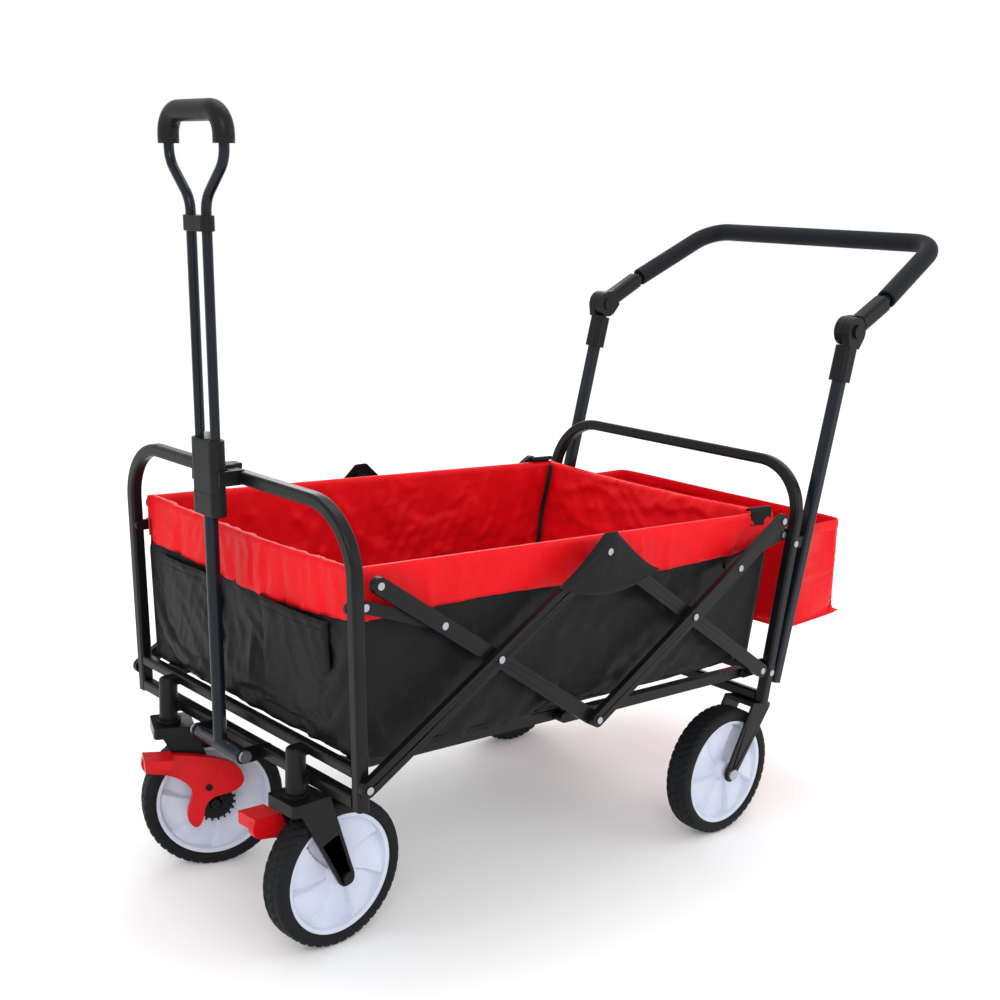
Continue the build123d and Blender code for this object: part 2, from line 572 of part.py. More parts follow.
def rear_axles():
    """Axle bolts of the rear wheels, each with a nut at both ends."""
    near = REAR_WHEEL_OFFSET - TYRE_WIDTH / 2 - FORK_GAP - FORK_PLATE
    far = REAR_WHEEL_OFFSET + TYRE_WIDTH / 2 + FORK_GAP + FORK_PLATE
    axle = side_disc(rear_axle, AXLE_R, near - 1, far + 1)
    axle += side_disc(rear_axle, AXLE_NUT_R, near - AXLE_NUT, near)
    axle += side_disc(rear_axle, AXLE_NUT_R, far, far + AXLE_NUT)
    return pair(axle)


def push_brackets():
    """Blocks that hold the push tubes behind the rear legs, one at each bolt."""
    leg_back = TUBE / 2 / cos(radians(REAR_LEAN))
    push_front = PUSH_TUBE / 2 / cos(radians(PUSH_LEAN))
    blocks = []
    for height in PUSH_BOLTS:
        low, high = height - TUBE / 2, height + TUBE / 2
        blocks += pair(side_plate(
            [(leaning(rear_leg_base, REAR_LEAN, low) + leg_back, low),
             (leaning(push_foot, PUSH_LEAN, low) - push_front, low),
             (leaning(push_foot, PUSH_LEAN, high) - push_front, high),
             (leaning(rear_leg_base, REAR_LEAN, high) + leg_back, high)],
            HALF_WIDTH - BRACKET_HALF, HALF_WIDTH + BRACKET_HALF))
    return blocks


# ---------------------------------------------------------------------------- wheels
def upright_wheel_plane():
    """Revolve sections in the YZ plane about Y: local x is the radius, local y is across."""
    return Plane(origin=(0, 0, 0), x_dir=(0, 0, 1), z_dir=(1, 0, 0))


def tyre():
    half = TYRE_WIDTH / 2
    side = [(TYRE_BEAD_R, half - TYRE_BEAD[1]), (TYRE_BEAD_R + TYRE_BEAD[0], half)]
    side += [(WHEEL_R - down, half - across) for down, across in TYRE_SHOULDER]
    other = [(radius, -across) for radius, across in reversed(side)]
    return revolve(upright_wheel_plane() * make_face(Polyline(*side, *other, close=True)), axis=Axis.Y)


def hub():
    half = TYRE_WIDTH / 2
    boss = half - HUB_RECESS
    rim = half - HUB_RIM_INSET
    outline = make_face(Polyline(
        (AXLE_R + PIN_FIT, -boss), (AXLE_R + PIN_FIT, boss), (HUB_BOSS_R, boss), (HUB_BOSS_R, HUB_WEB),
        (HUB_RIM_R, HUB_WEB), (HUB_RIM_R + HUB_RIM_FLARE, rim), (TYRE_BEAD_R, rim), (TYRE_BEAD_R, -rim),
        (HUB_RIM_R + HUB_RIM_FLARE, -rim), (HUB_RIM_R, -HUB_WEB), (HUB_BOSS_R, -HUB_WEB), (HUB_BOSS_R, -boss),
        close=True))
    wheel = revolve(upright_wheel_plane() * outline, axis=Axis.Y)
    for turn in range(HUB_VANES):
        vane = make_face(Polyline((HUB_BOSS_R - 1, 0), (HUB_RIM_R + 1, -HUB_VANE_SWEEP),
                                  (HUB_RIM_R + 1, HUB_VANE_SWEEP), (HUB_BOSS_R - 1, HUB_VANE_ROOT), close=True))
        plane = Plane(origin=(0, half - HUB_VANE_INSET, 0), x_dir=(1, 0, 0), z_dir=(0, -1, 0))
        wheel += Rot(0, turn * 360 / HUB_VANES, 0) * extrude(plane * vane, amount=2 * (half - HUB_VANE_INSET))
    wheel -= Rot(90, 0, 0) * Cylinder(AXLE_R + PIN_FIT, 2 * TYRE_WIDTH)
    return wheel


def caster_place(side):
    """Where a caster's own frame sits: origin on the floor below the stem, wheel trailing along +X."""
    sign = -1 if side == "left" else 1
    return Location((CASTER_X, sign * CASTER_OFFSET, 0), (0, 0, CASTER_TURN[side]))


def wheels():
    nodes = {}
    rolling = {"rear_left": Location((rear_axle[0], -REAR_WHEEL_OFFSET, WHEEL_R)),
               "rear_right": Location((rear_axle[0], REAR_WHEEL_OFFSET, WHEEL_R)),
               "front_left": caster_place("left") * Pos(CASTER_TRAIL, 0, WHEEL_R),
               "front_right": caster_place("right") * Pos(CASTER_TRAIL, 0, WHEEL_R)}
    for name, place in rolling.items():
        nodes["tyre_" + name] = [place * tyre()]
        nodes["hub_" + name] = [place * hub()]
    return nodes


# ---------------------------------------------------------------------------- casters and brakes
def brake_ring():
    """Toothed ring on the +Y face of a front hub, with a tooth just past the pawl when the pedal is down."""
    pawl_reach = gap(PEDAL_PIVOT, PEDAL_PAWL)
    pawl_down = along(PEDAL_PIVOT, slope_of(PEDAL_PIVOT, PEDAL_PAWL) + PEDAL_TRAVEL, pawl_reach)
    stop = slope_of((0, 0), pawl_down) + degrees((PAWL_R + PAWL_FIT + BRAKE_TOOTH_WIDTH / 2) / BRAKE_RING_R)
    ring = Circle(BRAKE_RING_R - BRAKE_TOOTH)
    for tooth in range(BRAKE_TEETH):
        turn = stop + tooth * 360 / BRAKE_TEETH
        tooth_root = Pos(BRAKE_RING_R - BRAKE_TOOTH, 0)
        ring += Rot(0, 0, turn) * tooth_root * Rectangle(2 * BRAKE_TOOTH, BRAKE_TOOTH_WIDTH)
    ring -= Circle(BRAKE_RING_BORE)
    face = TYRE_WIDTH / 2 - HUB_RECESS
    return side_prism(ring, -face - BRAKE_RING_WIDTH, -face)


def brake_pedal():
    """Foot pedal for a wheel whose brake side is +Y, in the wheel's own frame."""
    near = TYRE_WIDTH / 2 + FORK_GAP + FORK_PLATE + FACE_GAP
    arm = side_prism(make_face(Spline(*PEDAL_OUTLINE, periodic=True)), -near - PEDAL_THICK, -near)
    arm -= side_disc(PEDAL_PIVOT, RIVET_R + PIN_FIT, -near - 2 * PEDAL_THICK, 0)
    tread = side_plate(PEDAL_TREAD, -near - PEDAL_TREAD_WIDTH, -near)
    pawl = side_disc(PEDAL_PAWL, PAWL_R, -near, -TYRE_WIDTH / 2 - 1)
    return arm + tread + pawl


def caster_fork():
    """Stem, crown and two arms, with the axle as a solid of its own; origin under the stem."""
    near = TYRE_WIDTH / 2 + FORK_GAP
    far = near + FORK_PLATE
    axle_at = (CASTER_TRAIL, WHEEL_R)
    low, high = CASTER_CROWN
    crown = block((CASTER_CROWN_X[0], -far, low), (CASTER_CROWN_X[1], far, high))
    crown = fillet(crown.edges().filter_by(Axis.Z), CASTER_CROWN_CORNER)
    arm_top = Pos(sum(CASTER_ARM_X) / 2, (low + high) / 2) * Rectangle(
        CASTER_ARM_X[1] - CASTER_ARM_X[0], high - low - 2 * CASTER_ARM_INSET)
    arm = make_hull([*(Pos(*axle_at) * Circle(FORK_END_R)).edges(), *arm_top.edges()])
    fork = crown + side_prism(arm, near, far) + side_prism(arm, -far, -near)
    fork += upright(STEM_R, high, SOCKET_TOP - SOCKET_CAP - FACE_GAP, 0, 0)
    fork -= side_disc(axle_at, AXLE_R, -2 * far, 2 * far)
    axle = side_disc(axle_at, AXLE_R, -far - 1, far + 1)
    axle += side_disc(axle_at, AXLE_NUT_R, far, far + AXLE_NUT)
    axle += side_disc(axle_at, CASTER_NUT_R, -far - AXLE_NUT, -far)
    pivot = (PEDAL_PIVOT[0] + axle_at[0], PEDAL_PIVOT[1] + axle_at[1])
    pin = side_disc(pivot, RIVET_R, -far - FACE_GAP - PEDAL_THICK - FACE_GAP, -far)
    pin += side_disc(pivot, RIVET_HEAD_R, -far - 2 * FACE_GAP - PEDAL_THICK - RIVET_HEAD,
                     -far - 2 * FACE_GAP - PEDAL_THICK)
    return [fork, axle, pin]


def casters():
    """Both casters with their brakes; the brake side faces the centreline."""
    nodes = {}
    at_axle = Pos(CASTER_TRAIL, 0, WHEEL_R)
    for side in ("left", "right"):
        place = caster_place(side)
        hand = (lambda shape: shape) if side == "left" else mirrored
        nodes["caster_fork_" + side] = [place * hand(piece) for piece in caster_fork()]
        nodes["brake_ring_" + side] = [place * hand(at_axle * brake_ring())]
        nodes["brake_pedal_" + side] = [place * hand(at_axle * brake_pedal())]
    return nodes


# ---------------------------------------------------------------------------- pull handle
def handle_place():
    """The handle's own frame: origin at its pivot, +Z along the tube."""
    return Location((HANDLE_PIVOT[0], 0, HANDLE_PIVOT[1]), (0, HANDLE_LEAN, 0))


def across_bar(radius, half):
    """Cylinder along Y, centred on the origin."""
    return Rot(90, 0, 0) * Cylinder(radius, 2 * half)


def obround(radius, low, high):
    """Block round both rods: a slot outline, long across the wagon."""
    outline = Rot(0, 0, 90) * SlotCenterToCenter(ROD_SPACING, 2 * radius)
    return extrude(Plane.XY.offset(low) * outline, amount=high - low)


def rod_bores(radius, low, high):
    return [upright(radius, low, high, 0, side * ROD_SPACING / 2) for side in (-1, 1)]


def handle_path(points, radii):
    plane = Plane(origin=(0, 0, 0), x_dir=(0, 1, 0), z_dir=(1, 0, 0))
    return plane * FilletPolyline(*points, radius=radii)


def pull_handle():
    place = handle_place()
    tube_top = BLOCK_TO - 2 * SLIDE_FIT - CLAMP_HEIGHT
    tube = upright(HANDLE_TUBE_R, 0, tube_top, 0, 0) - upright(
        HANDLE_TUBE_R - TUBE_WALL, BARREL_R, tube_top + 1, 0, 0)
    tube = tube + across_bar(BARREL_R, BARREL_HALF) - across_bar(HANDLE_BOLT_R + PIN_FIT, BARREL_HALF + 1)

    housing = obround(HOUSING_WIDE, COLLAR_FROM, WAIST_FROM) + obround(HOUSING_WAIST, WAIST_FROM, BLOCK_FROM)
    housing += obround(HOUSING_WIDE, BLOCK_FROM, BLOCK_TO)
    housing = fillet(housing.edges().group_by(Axis.Z)[-1] + housing.edges().group_by(Axis.Z)[0], HOUSING_ROUND)
    for bore in rod_bores(ROD_R + SLIDE_FIT, COLLAR_FROM - 1, BLOCK_TO + 1):
        housing -= bore
    housing -= upright(HANDLE_TUBE_R, COLLAR_FROM - 1, tube_top, 0, 0)
    housing -= upright(BUTTON_R + PIN_FIT, tube_top - 1, BLOCK_TO + 1, 0, 0)
    button = upright(BUTTON_R, BLOCK_TO - BUTTON_ROOT, BLOCK_TO + BUTTON_TRAVEL + BUTTON_CAP, 0, 0)

    half = ROD_SPACING / 2
    wide = GRIP_SPREAD / 2
    rods = handle_path([(-half, ROD_FOOT), (-half, FLARE_FROM), (-wide, FLARE_TO), (-wide, GRIP_AT),
                        (wide, GRIP_AT), (wide, FLARE_TO), (half, FLARE_FROM), (half, ROD_FOOT)],
                       [FLARE_BEND, FLARE_BEND, GRIP_BEND, GRIP_BEND, FLARE_BEND, FLARE_BEND])
    over = handle_path([(-wide, GRIP_FOOT), (-wide, GRIP_AT), (wide, GRIP_AT), (wide, GRIP_FOOT)], GRIP_BEND)
    loop = swept(rods, round_tube(ROD_R, ROD_WALL), (0, 1, 0))
    grip = swept(over, Circle(GRIP_R) - Circle(ROD_R + PIN_FIT), (0, 1, 0))
    clamp_foot = BLOCK_TO + BUTTON_TRAVEL + BUTTON_CAP + SLIDE_TRAVEL + SLIDE_STOP
    clamp = obround(ROD_R + CLAMP_WALL, clamp_foot, clamp_foot + CLAMP_HEIGHT)
    for bore in rod_bores(ROD_R + PIN_FIT, clamp_foot - 1, clamp_foot + CLAMP_HEIGHT + 1):
        clamp -= bore

    ear_face = BARREL_HALF + FACE_GAP + EAR_THICK
    ear = side_bar(HANDLE_PIVOT, front_lower, EAR_WIDTH, BARREL_HALF + FACE_GAP, ear_face)
    ear = biggest(ear - tube_envelope(front_lower, TUBE, FRONT_LEAN))
    ear -= side_disc(HANDLE_PIVOT, HANDLE_BOLT_R, 0, HALF_WIDTH)
    bolt = side_disc(HANDLE_PIVOT, HANDLE_BOLT_R, -ear_face, ear_face)
    for side in (-1, 1):
        bolt += side_disc(HANDLE_PIVOT, AXLE_NUT_R, *sorted((side * ear_face, side * (ear_face + AXLE_NUT))))
    return {"handle_bracket": pair(ear), "handle_pivot_bolt": [bolt], "handle_clip": [handle_clip()],
            "pull_handle_tube": [place * tube], "handle_housing": [place * housing],
            "release_button": [place * button], "pull_rods": [place * loop], "rod_clamp": [place * clamp],
            "pull_grip": [place * grip]}


def handle_clip():
    """Saddle on the front hoop bar with two prongs that hold the housing's waist."""
    bar = (leaning(FRONT_PIVOT, FRONT_LEAN, FRONT_TOP), FRONT_TOP)
    waist_x = leaning(HANDLE_PIVOT, HANDLE_LEAN, FRONT_TOP)
    back = waist_x + HOUSING_WIDE + 2 * FACE_GAP
    inside = ROD_SPACING / 2 + HOUSING_WIDE + FACE_GAP
    low, high = FRONT_TOP - CLIP_HEIGHT / 2, FRONT_TOP + CLIP_HEIGHT / 2
    lift = 2 * FACE_GAP + CLIP_WALL
    plate = block((back, -inside - CLIP_PRONG, low), (bar[0], inside + CLIP_PRONG, high))
    saddle = block((back, -CLIP_SADDLE_HALF, bar[1] - TUBE / 2 - lift),
                   (bar[0] + TUBE / 2 + CLIP_WALL, CLIP_SADDLE_HALF, bar[1] + TUBE / 2 + lift))
    clip = plate + saddle - tube_envelope(bar, TUBE, FRONT_LEAN)
    clip = biggest(clip - block((bar[0], inside - CLIP_HOOK, 0), (bar[0] + TUBE, HALF_WIDTH, FRONT_TOP * 2))
                   - block((bar[0], -HALF_WIDTH, 0), (bar[0] + TUBE, CLIP_HOOK - inside, FRONT_TOP * 2)))
    for side in (-1, 1):
        ends = sorted((side * inside, side * (inside + CLIP_PRONG)))
        clip += block((waist_x - HOUSING_WAIST / 2, ends[0], low), (back + 1, ends[1], high))
    return clip


# ---------------------------------------------------------------------------- push handle
def push_frame(slope):
    """Plane through both push joints: local x across the wagon, local y up the slope."""
    return Plane(origin=(push_joint[0], 0, push_joint[1]), x_dir=(0, 1, 0),
                 z_dir=(sin(radians(slope)), 0, -cos(radians(slope))))


def left_joint(slope):
    """Frame at the left push joint with +Z up a slope in the side plane and +X across the wagon."""
    return Plane(origin=(push_joint[0], -HALF_WIDTH, push_joint[1]), x_dir=(0, 1, 0),
                 z_dir=(cos(radians(slope)), 0, sin(radians(slope))))


def joint_cheek(neck, slope):
    """Disc round the push joint, widened to meet a socket at its neck."""
    neck_line = Pos(*neck) * Rot(0, 0, slope) * Rectangle(2, PUSH_SOCKET_WIDTH)
    return make_hull([*(Pos(*push_joint) * Circle(PUSH_DISC_R)).edges(), *neck_line.edges()])


def push_handle():
    tube_slope = 90 - PUSH_LEAN
    half = PUSH_SOCKET_WIDTH / 2
    up_tube = left_joint(tube_slope)
    tube_length = gap(push_foot, push_joint) - PUSH_NECK - PUSH_SOCKET_END
    tube = extrude(Plane(up_tube.location * Pos(0, 0, -gap(push_foot, push_joint)))
                   * square_tube(PUSH_TUBE, TUBE_CORNER, TUBE_WALL), amount=tube_length)

    split = HALF_WIDTH + FACE_GAP
    outer = HALF_WIDTH + half
    body = Plane(up_tube.location * Pos(0, 0, -PUSH_SOCKET_DOWN))
    lower = extrude(body * RectangleRounded(PUSH_SOCKET_WIDTH, PUSH_SOCKET_WIDTH, PUSH_SOCKET_CORNER),
                    amount=PUSH_SOCKET_DOWN - PUSH_NECK)
    lower -= extrude(body * RectangleRounded(PUSH_TUBE, PUSH_TUBE, TUBE_CORNER),
                     amount=PUSH_SOCKET_DOWN - PUSH_NECK - PUSH_SOCKET_END)
    lower += side_prism(joint_cheek(along(push_joint, tube_slope, -PUSH_NECK), tube_slope), split, outer)
    pocket = RATCHET_SUNK + RATCHET_TRAVEL + 2 * FACE_GAP
    lower -= side_disc(push_joint, RATCHET_BUTTON_R + SLIDE_FIT, outer - pocket, outer + 1)
    pin = side_disc(push_joint, PUSH_PIN_R, HALF_WIDTH - half - RIVET_HEAD, split)
    pin += side_disc(push_joint, 2 * PUSH_PIN_R, HALF_WIDTH - half - RIVET_HEAD - FACE_GAP,
                     HALF_WIDTH - half - FACE_GAP)
    button = side_disc(push_joint, RATCHET_BUTTON_R, outer - RATCHET_SUNK, outer + RATCHET_BUTTON_STAND)

    arm = Plane(left_joint(PUSH_ARM_SLOPE).location * Pos(0, 0, PUSH_NECK))
    upper = extrude(arm * RectangleRounded(PUSH_SOCKET_WIDTH, PUSH_SOCKET_WIDTH, PUSH_ARM_CORNER),
                    amount=PUSH_SOCKET_UP - PUSH_NECK)
    upper += side_prism(joint_cheek(along(push_joint, PUSH_ARM_SLOPE, PUSH_NECK), PUSH_ARM_SLOPE),
                        HALF_WIDTH - half, HALF_WIDTH)
    upper -= extrude(Plane(arm.location * Pos(0, 0, PUSH_BAR_END)) * Circle(PUSH_BAR_R), amount=PUSH_SOCKET_UP)
    upper -= side_disc(push_joint, PUSH_PIN_R + PIN_FIT, 0, 2 * HALF_WIDTH)

    lean_in = (HALF_WIDTH - PUSH_BAR_HALF) / (PUSH_ARM - ARM_KINK)
    foam_side = HALF_WIDTH - lean_in * (FOAM_FROM - ARM_KINK)
    plane = push_frame(PUSH_ARM_SLOPE)
    bar_path = plane * FilletPolyline(
        (-HALF_WIDTH, PUSH_NECK + PUSH_BAR_END), (-HALF_WIDTH, ARM_KINK), (-PUSH_BAR_HALF, PUSH_ARM),
        (PUSH_BAR_HALF, PUSH_ARM), (HALF_WIDTH, ARM_KINK), (HALF_WIDTH, PUSH_NECK + PUSH_BAR_END),
        radius=[ARM_KINK_BEND, PUSH_BAR_BEND, PUSH_BAR_BEND, ARM_KINK_BEND])
    foam_path = plane * FilletPolyline(
        (-foam_side, FOAM_FROM), (-PUSH_BAR_HALF, PUSH_ARM), (PUSH_BAR_HALF, PUSH_ARM), (foam_side, FOAM_FROM),
        radius=PUSH_BAR_BEND)
    bar = swept(bar_path, round_tube(PUSH_BAR_R, TUBE_WALL), (0, 1, 0))
    foam = sweep(Plane(origin=foam_path @ 0, x_dir=plane.z_dir, z_dir=foam_path % 0)
                 * (Circle(FOAM_R) - Circle(PUSH_BAR_R + PIN_FIT)), path=foam_path)

    return {"push_tubes": pair(tube), "push_joint_sockets": pair(lower) + pair(pin), "push_bar": [bar],
            "push_arm_sockets": pair(upper), "push_foam_grip": [foam], "ratchet_button_left": [button],
            "ratchet_button_right": [mirrored(button)]}


# ---------------------------------------------------------------------------- fabric
def tub():
    """Plain closed panels of the tub: front, two sides, floor and rear."""
    rear_x = [leaning(rear_leg_base, REAR_LEAN, z) - TUB_REAR_AHEAD for z in (TUB_FLOOR[1], TUB_RIM[1])]
    corners = [(TUB_FRONT[0], TUB_FLOOR[0]), (TUB_FRONT[1], TUB_RIM[0]),
               (rear_x[1] - CLOTH - FACE_GAP, TUB_RIM[1]), (rear_x[0] - CLOTH - FACE_GAP, TUB_FLOOR[1])]
    side = side_plate(corners, TUB_HALF - CLOTH, TUB_HALF)
    inner = TUB_HALF - CLOTH
    front = side_plate([corners[0], corners[1], (corners[1][0] + CLOTH, corners[1][1]),
                        (corners[0][0] + CLOTH, corners[0][1])], -inner, inner)
    floor = side_plate([(corners[0][0] + CLOTH, corners[0][1]), (corners[3][0], corners[3][1]),
                        (corners[3][0], corners[3][1] + CLOTH),
                        (corners[0][0] + CLOTH, corners[0][1] + CLOTH)], -inner, inner)
    rear = side_plate([(rear_x[0] - CLOTH, TUB_FLOOR[1]), (rear_x[0], TUB_FLOOR[1]), (rear_x[1], TUB_RIM[1]),
                       (rear_x[1] - CLOTH, TUB_RIM[1])], -TUB_HALF, TUB_HALF)
    return {"tub_side_walls": pair(side), "tub_front_wall": [front], "tub_floor": [floor],
            "tub_rear_wall": [rear]}


def rear_bag():
    """Open-topped bag behind the push tubes."""
    low, high = BAG_HEIGHTS
    front = [leaning(push_foot, PUSH_LEAN, z) + BAG_BEHIND for z in (low, high)]
    outer = [(front[0], low), (front[0] + BAG_DEPTHS[0], low + BAG_DROP), (front[1] + BAG_DEPTHS[1], high),
             (front[1], high)]
    inner = [(front[0] + CLOTH, low + CLOTH), (outer[1][0] - CLOTH, outer[1][1] + CLOTH),
             (outer[2][0] - CLOTH, high + 1), (outer[3][0] + CLOTH, high + 1)]
    bag = side_plate(outer, -BAG_HALF, BAG_HALF) - side_plate(inner, CLOTH - BAG_HALF, BAG_HALF - CLOTH)
    return {"rear_bag": [bag]}


def side_flaps():
    """Cloth flaps over the top vertices."""
    near = outer_far + RIVET_HEAD + FACE_GAP
    corners = [(top_vertex[0] + x, top_vertex[1] + z) for x, z in FLAP_CORNERS]
    return {"side_flaps": pair(side_plate(corners, near, near + CLOTH))}


# ---------------------------------------------------------------------------- assembly
nodes = {}
for section in (front_frame, caster_sockets, scissor, stays, base_rails, rear_frame, rear_forks, wheels,
                casters, pull_handle, push_handle, tub, rear_bag, side_flaps):
    nodes.update(section())

extent = Compound(children=[piece for pieces in nodes.values() for piece in pieces]).bounding_box()
CENTRE_X = (extent.min.X + extent.max.X) / 2

for name, pieces in nodes.items():
    solids = [Pos(-CENTRE_X, 0, 0) * solid for piece in pieces for solid in piece.solids()]
    export_step(solids[0] if len(solids) == 1 else Compound(solids), "parts/" + name + ".step")
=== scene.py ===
import json
import math

import bpy
from mathutils import Matrix, Vector, noise


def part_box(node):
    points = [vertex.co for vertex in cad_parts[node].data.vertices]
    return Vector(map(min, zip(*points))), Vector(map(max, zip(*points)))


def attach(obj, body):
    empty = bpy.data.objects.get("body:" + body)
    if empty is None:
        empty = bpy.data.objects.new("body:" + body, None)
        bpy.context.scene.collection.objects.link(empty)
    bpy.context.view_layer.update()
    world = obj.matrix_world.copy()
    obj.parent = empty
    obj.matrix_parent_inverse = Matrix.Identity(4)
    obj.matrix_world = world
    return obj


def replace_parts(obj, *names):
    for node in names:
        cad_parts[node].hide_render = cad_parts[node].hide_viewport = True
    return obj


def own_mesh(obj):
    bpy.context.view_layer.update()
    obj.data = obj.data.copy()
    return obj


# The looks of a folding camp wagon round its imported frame.  Metres, +X to the rear, +Y to the right, +Z up.

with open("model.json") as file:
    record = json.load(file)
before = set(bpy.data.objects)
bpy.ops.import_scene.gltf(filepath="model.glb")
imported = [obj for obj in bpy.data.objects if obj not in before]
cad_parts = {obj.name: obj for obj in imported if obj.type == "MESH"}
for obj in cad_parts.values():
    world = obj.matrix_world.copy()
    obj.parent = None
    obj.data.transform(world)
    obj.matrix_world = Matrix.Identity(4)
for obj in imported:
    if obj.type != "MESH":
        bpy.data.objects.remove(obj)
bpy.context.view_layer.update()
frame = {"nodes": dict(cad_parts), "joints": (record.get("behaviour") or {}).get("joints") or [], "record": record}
joints = {joint["name"]: joint for joint in frame["joints"]}
nodes = frame["nodes"]
MM = 0.001

# ---------------------------------------------------------------------------- places read from the frame
wall_low, wall_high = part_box("tub_side_walls")
front_low, front_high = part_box("tub_front_wall")
rear_low, rear_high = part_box("tub_rear_wall")
bag_low, bag_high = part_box("rear_bag")
CLOTH = 2 * MM
HALF = wall_high.y
FRONT_BOTTOM = Vector((front_high.x - CLOTH, 0, front_low.z))
FRONT_RIM = Vector((wall_low.x, 0, wall_high.z))
REAR_BOTTOM = Vector((rear_low.x + CLOTH, 0, rear_low.z))
REAR_RIM = Vector((rear_high.x, 0, rear_high.z))
WHEEL_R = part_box("tyre_rear_left")[1].z / 2
TYRE_HALF = (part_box("tyre_rear_left")[1].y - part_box("tyre_rear_left")[0].y) / 2

# sizes of the cloth
BAND_DROP_SIDE = 52 * MM     # rim down to the lower edge of the red band
BAND_DROP_FRONT = 57 * MM
RIM_ROUND = 4 * MM
LINER_IN = 10 * MM           # liner, inside the outer cloth
SIDE_COLUMNS, END_COLUMNS, LINER_ROWS = 130, 90, 64      # mesh of the liner's panels
WALL_SHARE = 0.84            # black cloth, from the floor up to just under the red band
WALL_SHORT = 12 * MM         # a wall's cut, short of its slope from floor to rim
LINER_SHORT = 8 * MM         # a liner's straight part, short of that cut
CLOTH_THICK = 0.9 * MM


def lerp(a, b, t):
    return a + (b - a) * t


def smooth_step(edge0, edge1, x):
    t = max(0.0, min(1.0, (x - edge0) / (edge1 - edge0)))
    return t * t * (3 - 2 * t)


# ---------------------------------------------------------------------------- materials
THREAD_PITCH = 1.1 * MM


def material(name, colour, roughness, metallic=0.0, coat=0.0, sheen=0.0, specular=0.5):
    """Principled material; returns it with its shader."""
    made = bpy.data.materials.new(name)
    made.use_nodes = True
    shader = made.node_tree.nodes["Principled BSDF"]
    shader.inputs["Base Color"].default_value = (*colour, 1)
    shader.inputs["Roughness"].default_value = roughness
    shader.inputs["Metallic"].default_value = metallic
    shader.inputs["Coat Weight"].default_value = coat
    shader.inputs["Coat Roughness"].default_value = 0.2
    shader.inputs["Sheen Weight"].default_value = sheen
    shader.inputs["Specular IOR Level"].default_value = specular
    return made, shader


def add(made, kind, **values):
    node = made.node_tree.nodes.new(kind)
    for key, value in values.items():
        setattr(node, key, value)
    return node


def wire(made, source, target):
    made.node_tree.links.new(source, target)


def noise_node(made, scale, detail=3.0, stretch=(1, 1, 1), rough=0.5):
    """Noise in the object's own metres; scale is in features per metre."""
    place = add(made, "ShaderNodeTexCoord")
    mapping = add(made, "ShaderNodeMapping")
    mapping.inputs["Scale"].default_value = stretch
    texture = add(made, "ShaderNodeTexNoise")
    texture.inputs["Scale"].default_value = scale
    texture.inputs["Detail"].default_value = detail
    texture.inputs["Roughness"].default_value = rough
    wire(made, place.outputs["Object"], mapping.inputs["Vector"])
    wire(made, mapping.outputs["Vector"], texture.inputs["Vector"])
    return texture.outputs["Fac"]


def ramp(made, source, low, high, start=0.3, end=0.7):
    """Map a factor onto a range of numbers."""
    node = add(made, "ShaderNodeMapRange")
    node.inputs["From Min"].default_value = start
    node.inputs["From Max"].default_value = end
    node.inputs["To Min"].default_value = low
    node.inputs["To Max"].default_value = high
    wire(made, source, node.inputs["Value"])
    return node.outputs["Result"]


def tint(made, shader, source, dark, light):
    """Vary the base colour between two shades of it."""
    node = add(made, "ShaderNodeMix", data_type="RGBA")
    base = shader.inputs["Base Color"].default_value
    node.inputs["A"].default_value = (*[c * dark for c in base[:3]], 1)
    node.inputs["B"].default_value = (*[min(1, c * light) for c in base[:3]], 1)
    wire(made, source, node.inputs["Factor"])
    wire(made, node.outputs["Result"], shader.inputs["Base Color"])


def bump(made, shader, source, strength, distance, under=None):
    """Add a bump layer; under is the normal of the layer below."""
    node = add(made, "ShaderNodeBump")
    node.inputs["Strength"].default_value = strength
    node.inputs["Distance"].default_value = distance
    wire(made, source, node.inputs["Height"])
    if under:
        wire(made, under, node.inputs["Normal"])
    wire(made, node.outputs["Normal"], shader.inputs["Normal"])
    return node.outputs["Normal"]


def coated_metal(name, colour, roughness, coat):
    made, shader = material(name, colour, roughness, coat=coat, specular=0.16)
    peel = noise_node(made, 700, 2)
    patch = noise_node(made, 14, 4)
    tint(made, shader, ramp(made, patch, 0, 1), 0.85, 1.35)
    wire(made, ramp(made, patch, roughness - 0.05, roughness + 0.09), shader.inputs["Roughness"])
    bump(made, shader, peel, 0.12, 0.3 * MM)
    return made


def moulded(name, colour, roughness, coat=0.0, grain=1100, depth=0.25):
    made, shader = material(name, colour, roughness, coat=coat, specular=0.14)
    patch = noise_node(made, 22, 3)
    tint(made, shader, ramp(made, patch, 0, 1), 0.93, 1.06)
    wire(made, ramp(made, patch, roughness - 0.04, roughness + 0.06), shader.inputs["Roughness"])
    bump(made, shader, noise_node(made, grain, 3), depth, 0.25 * MM)
    return made


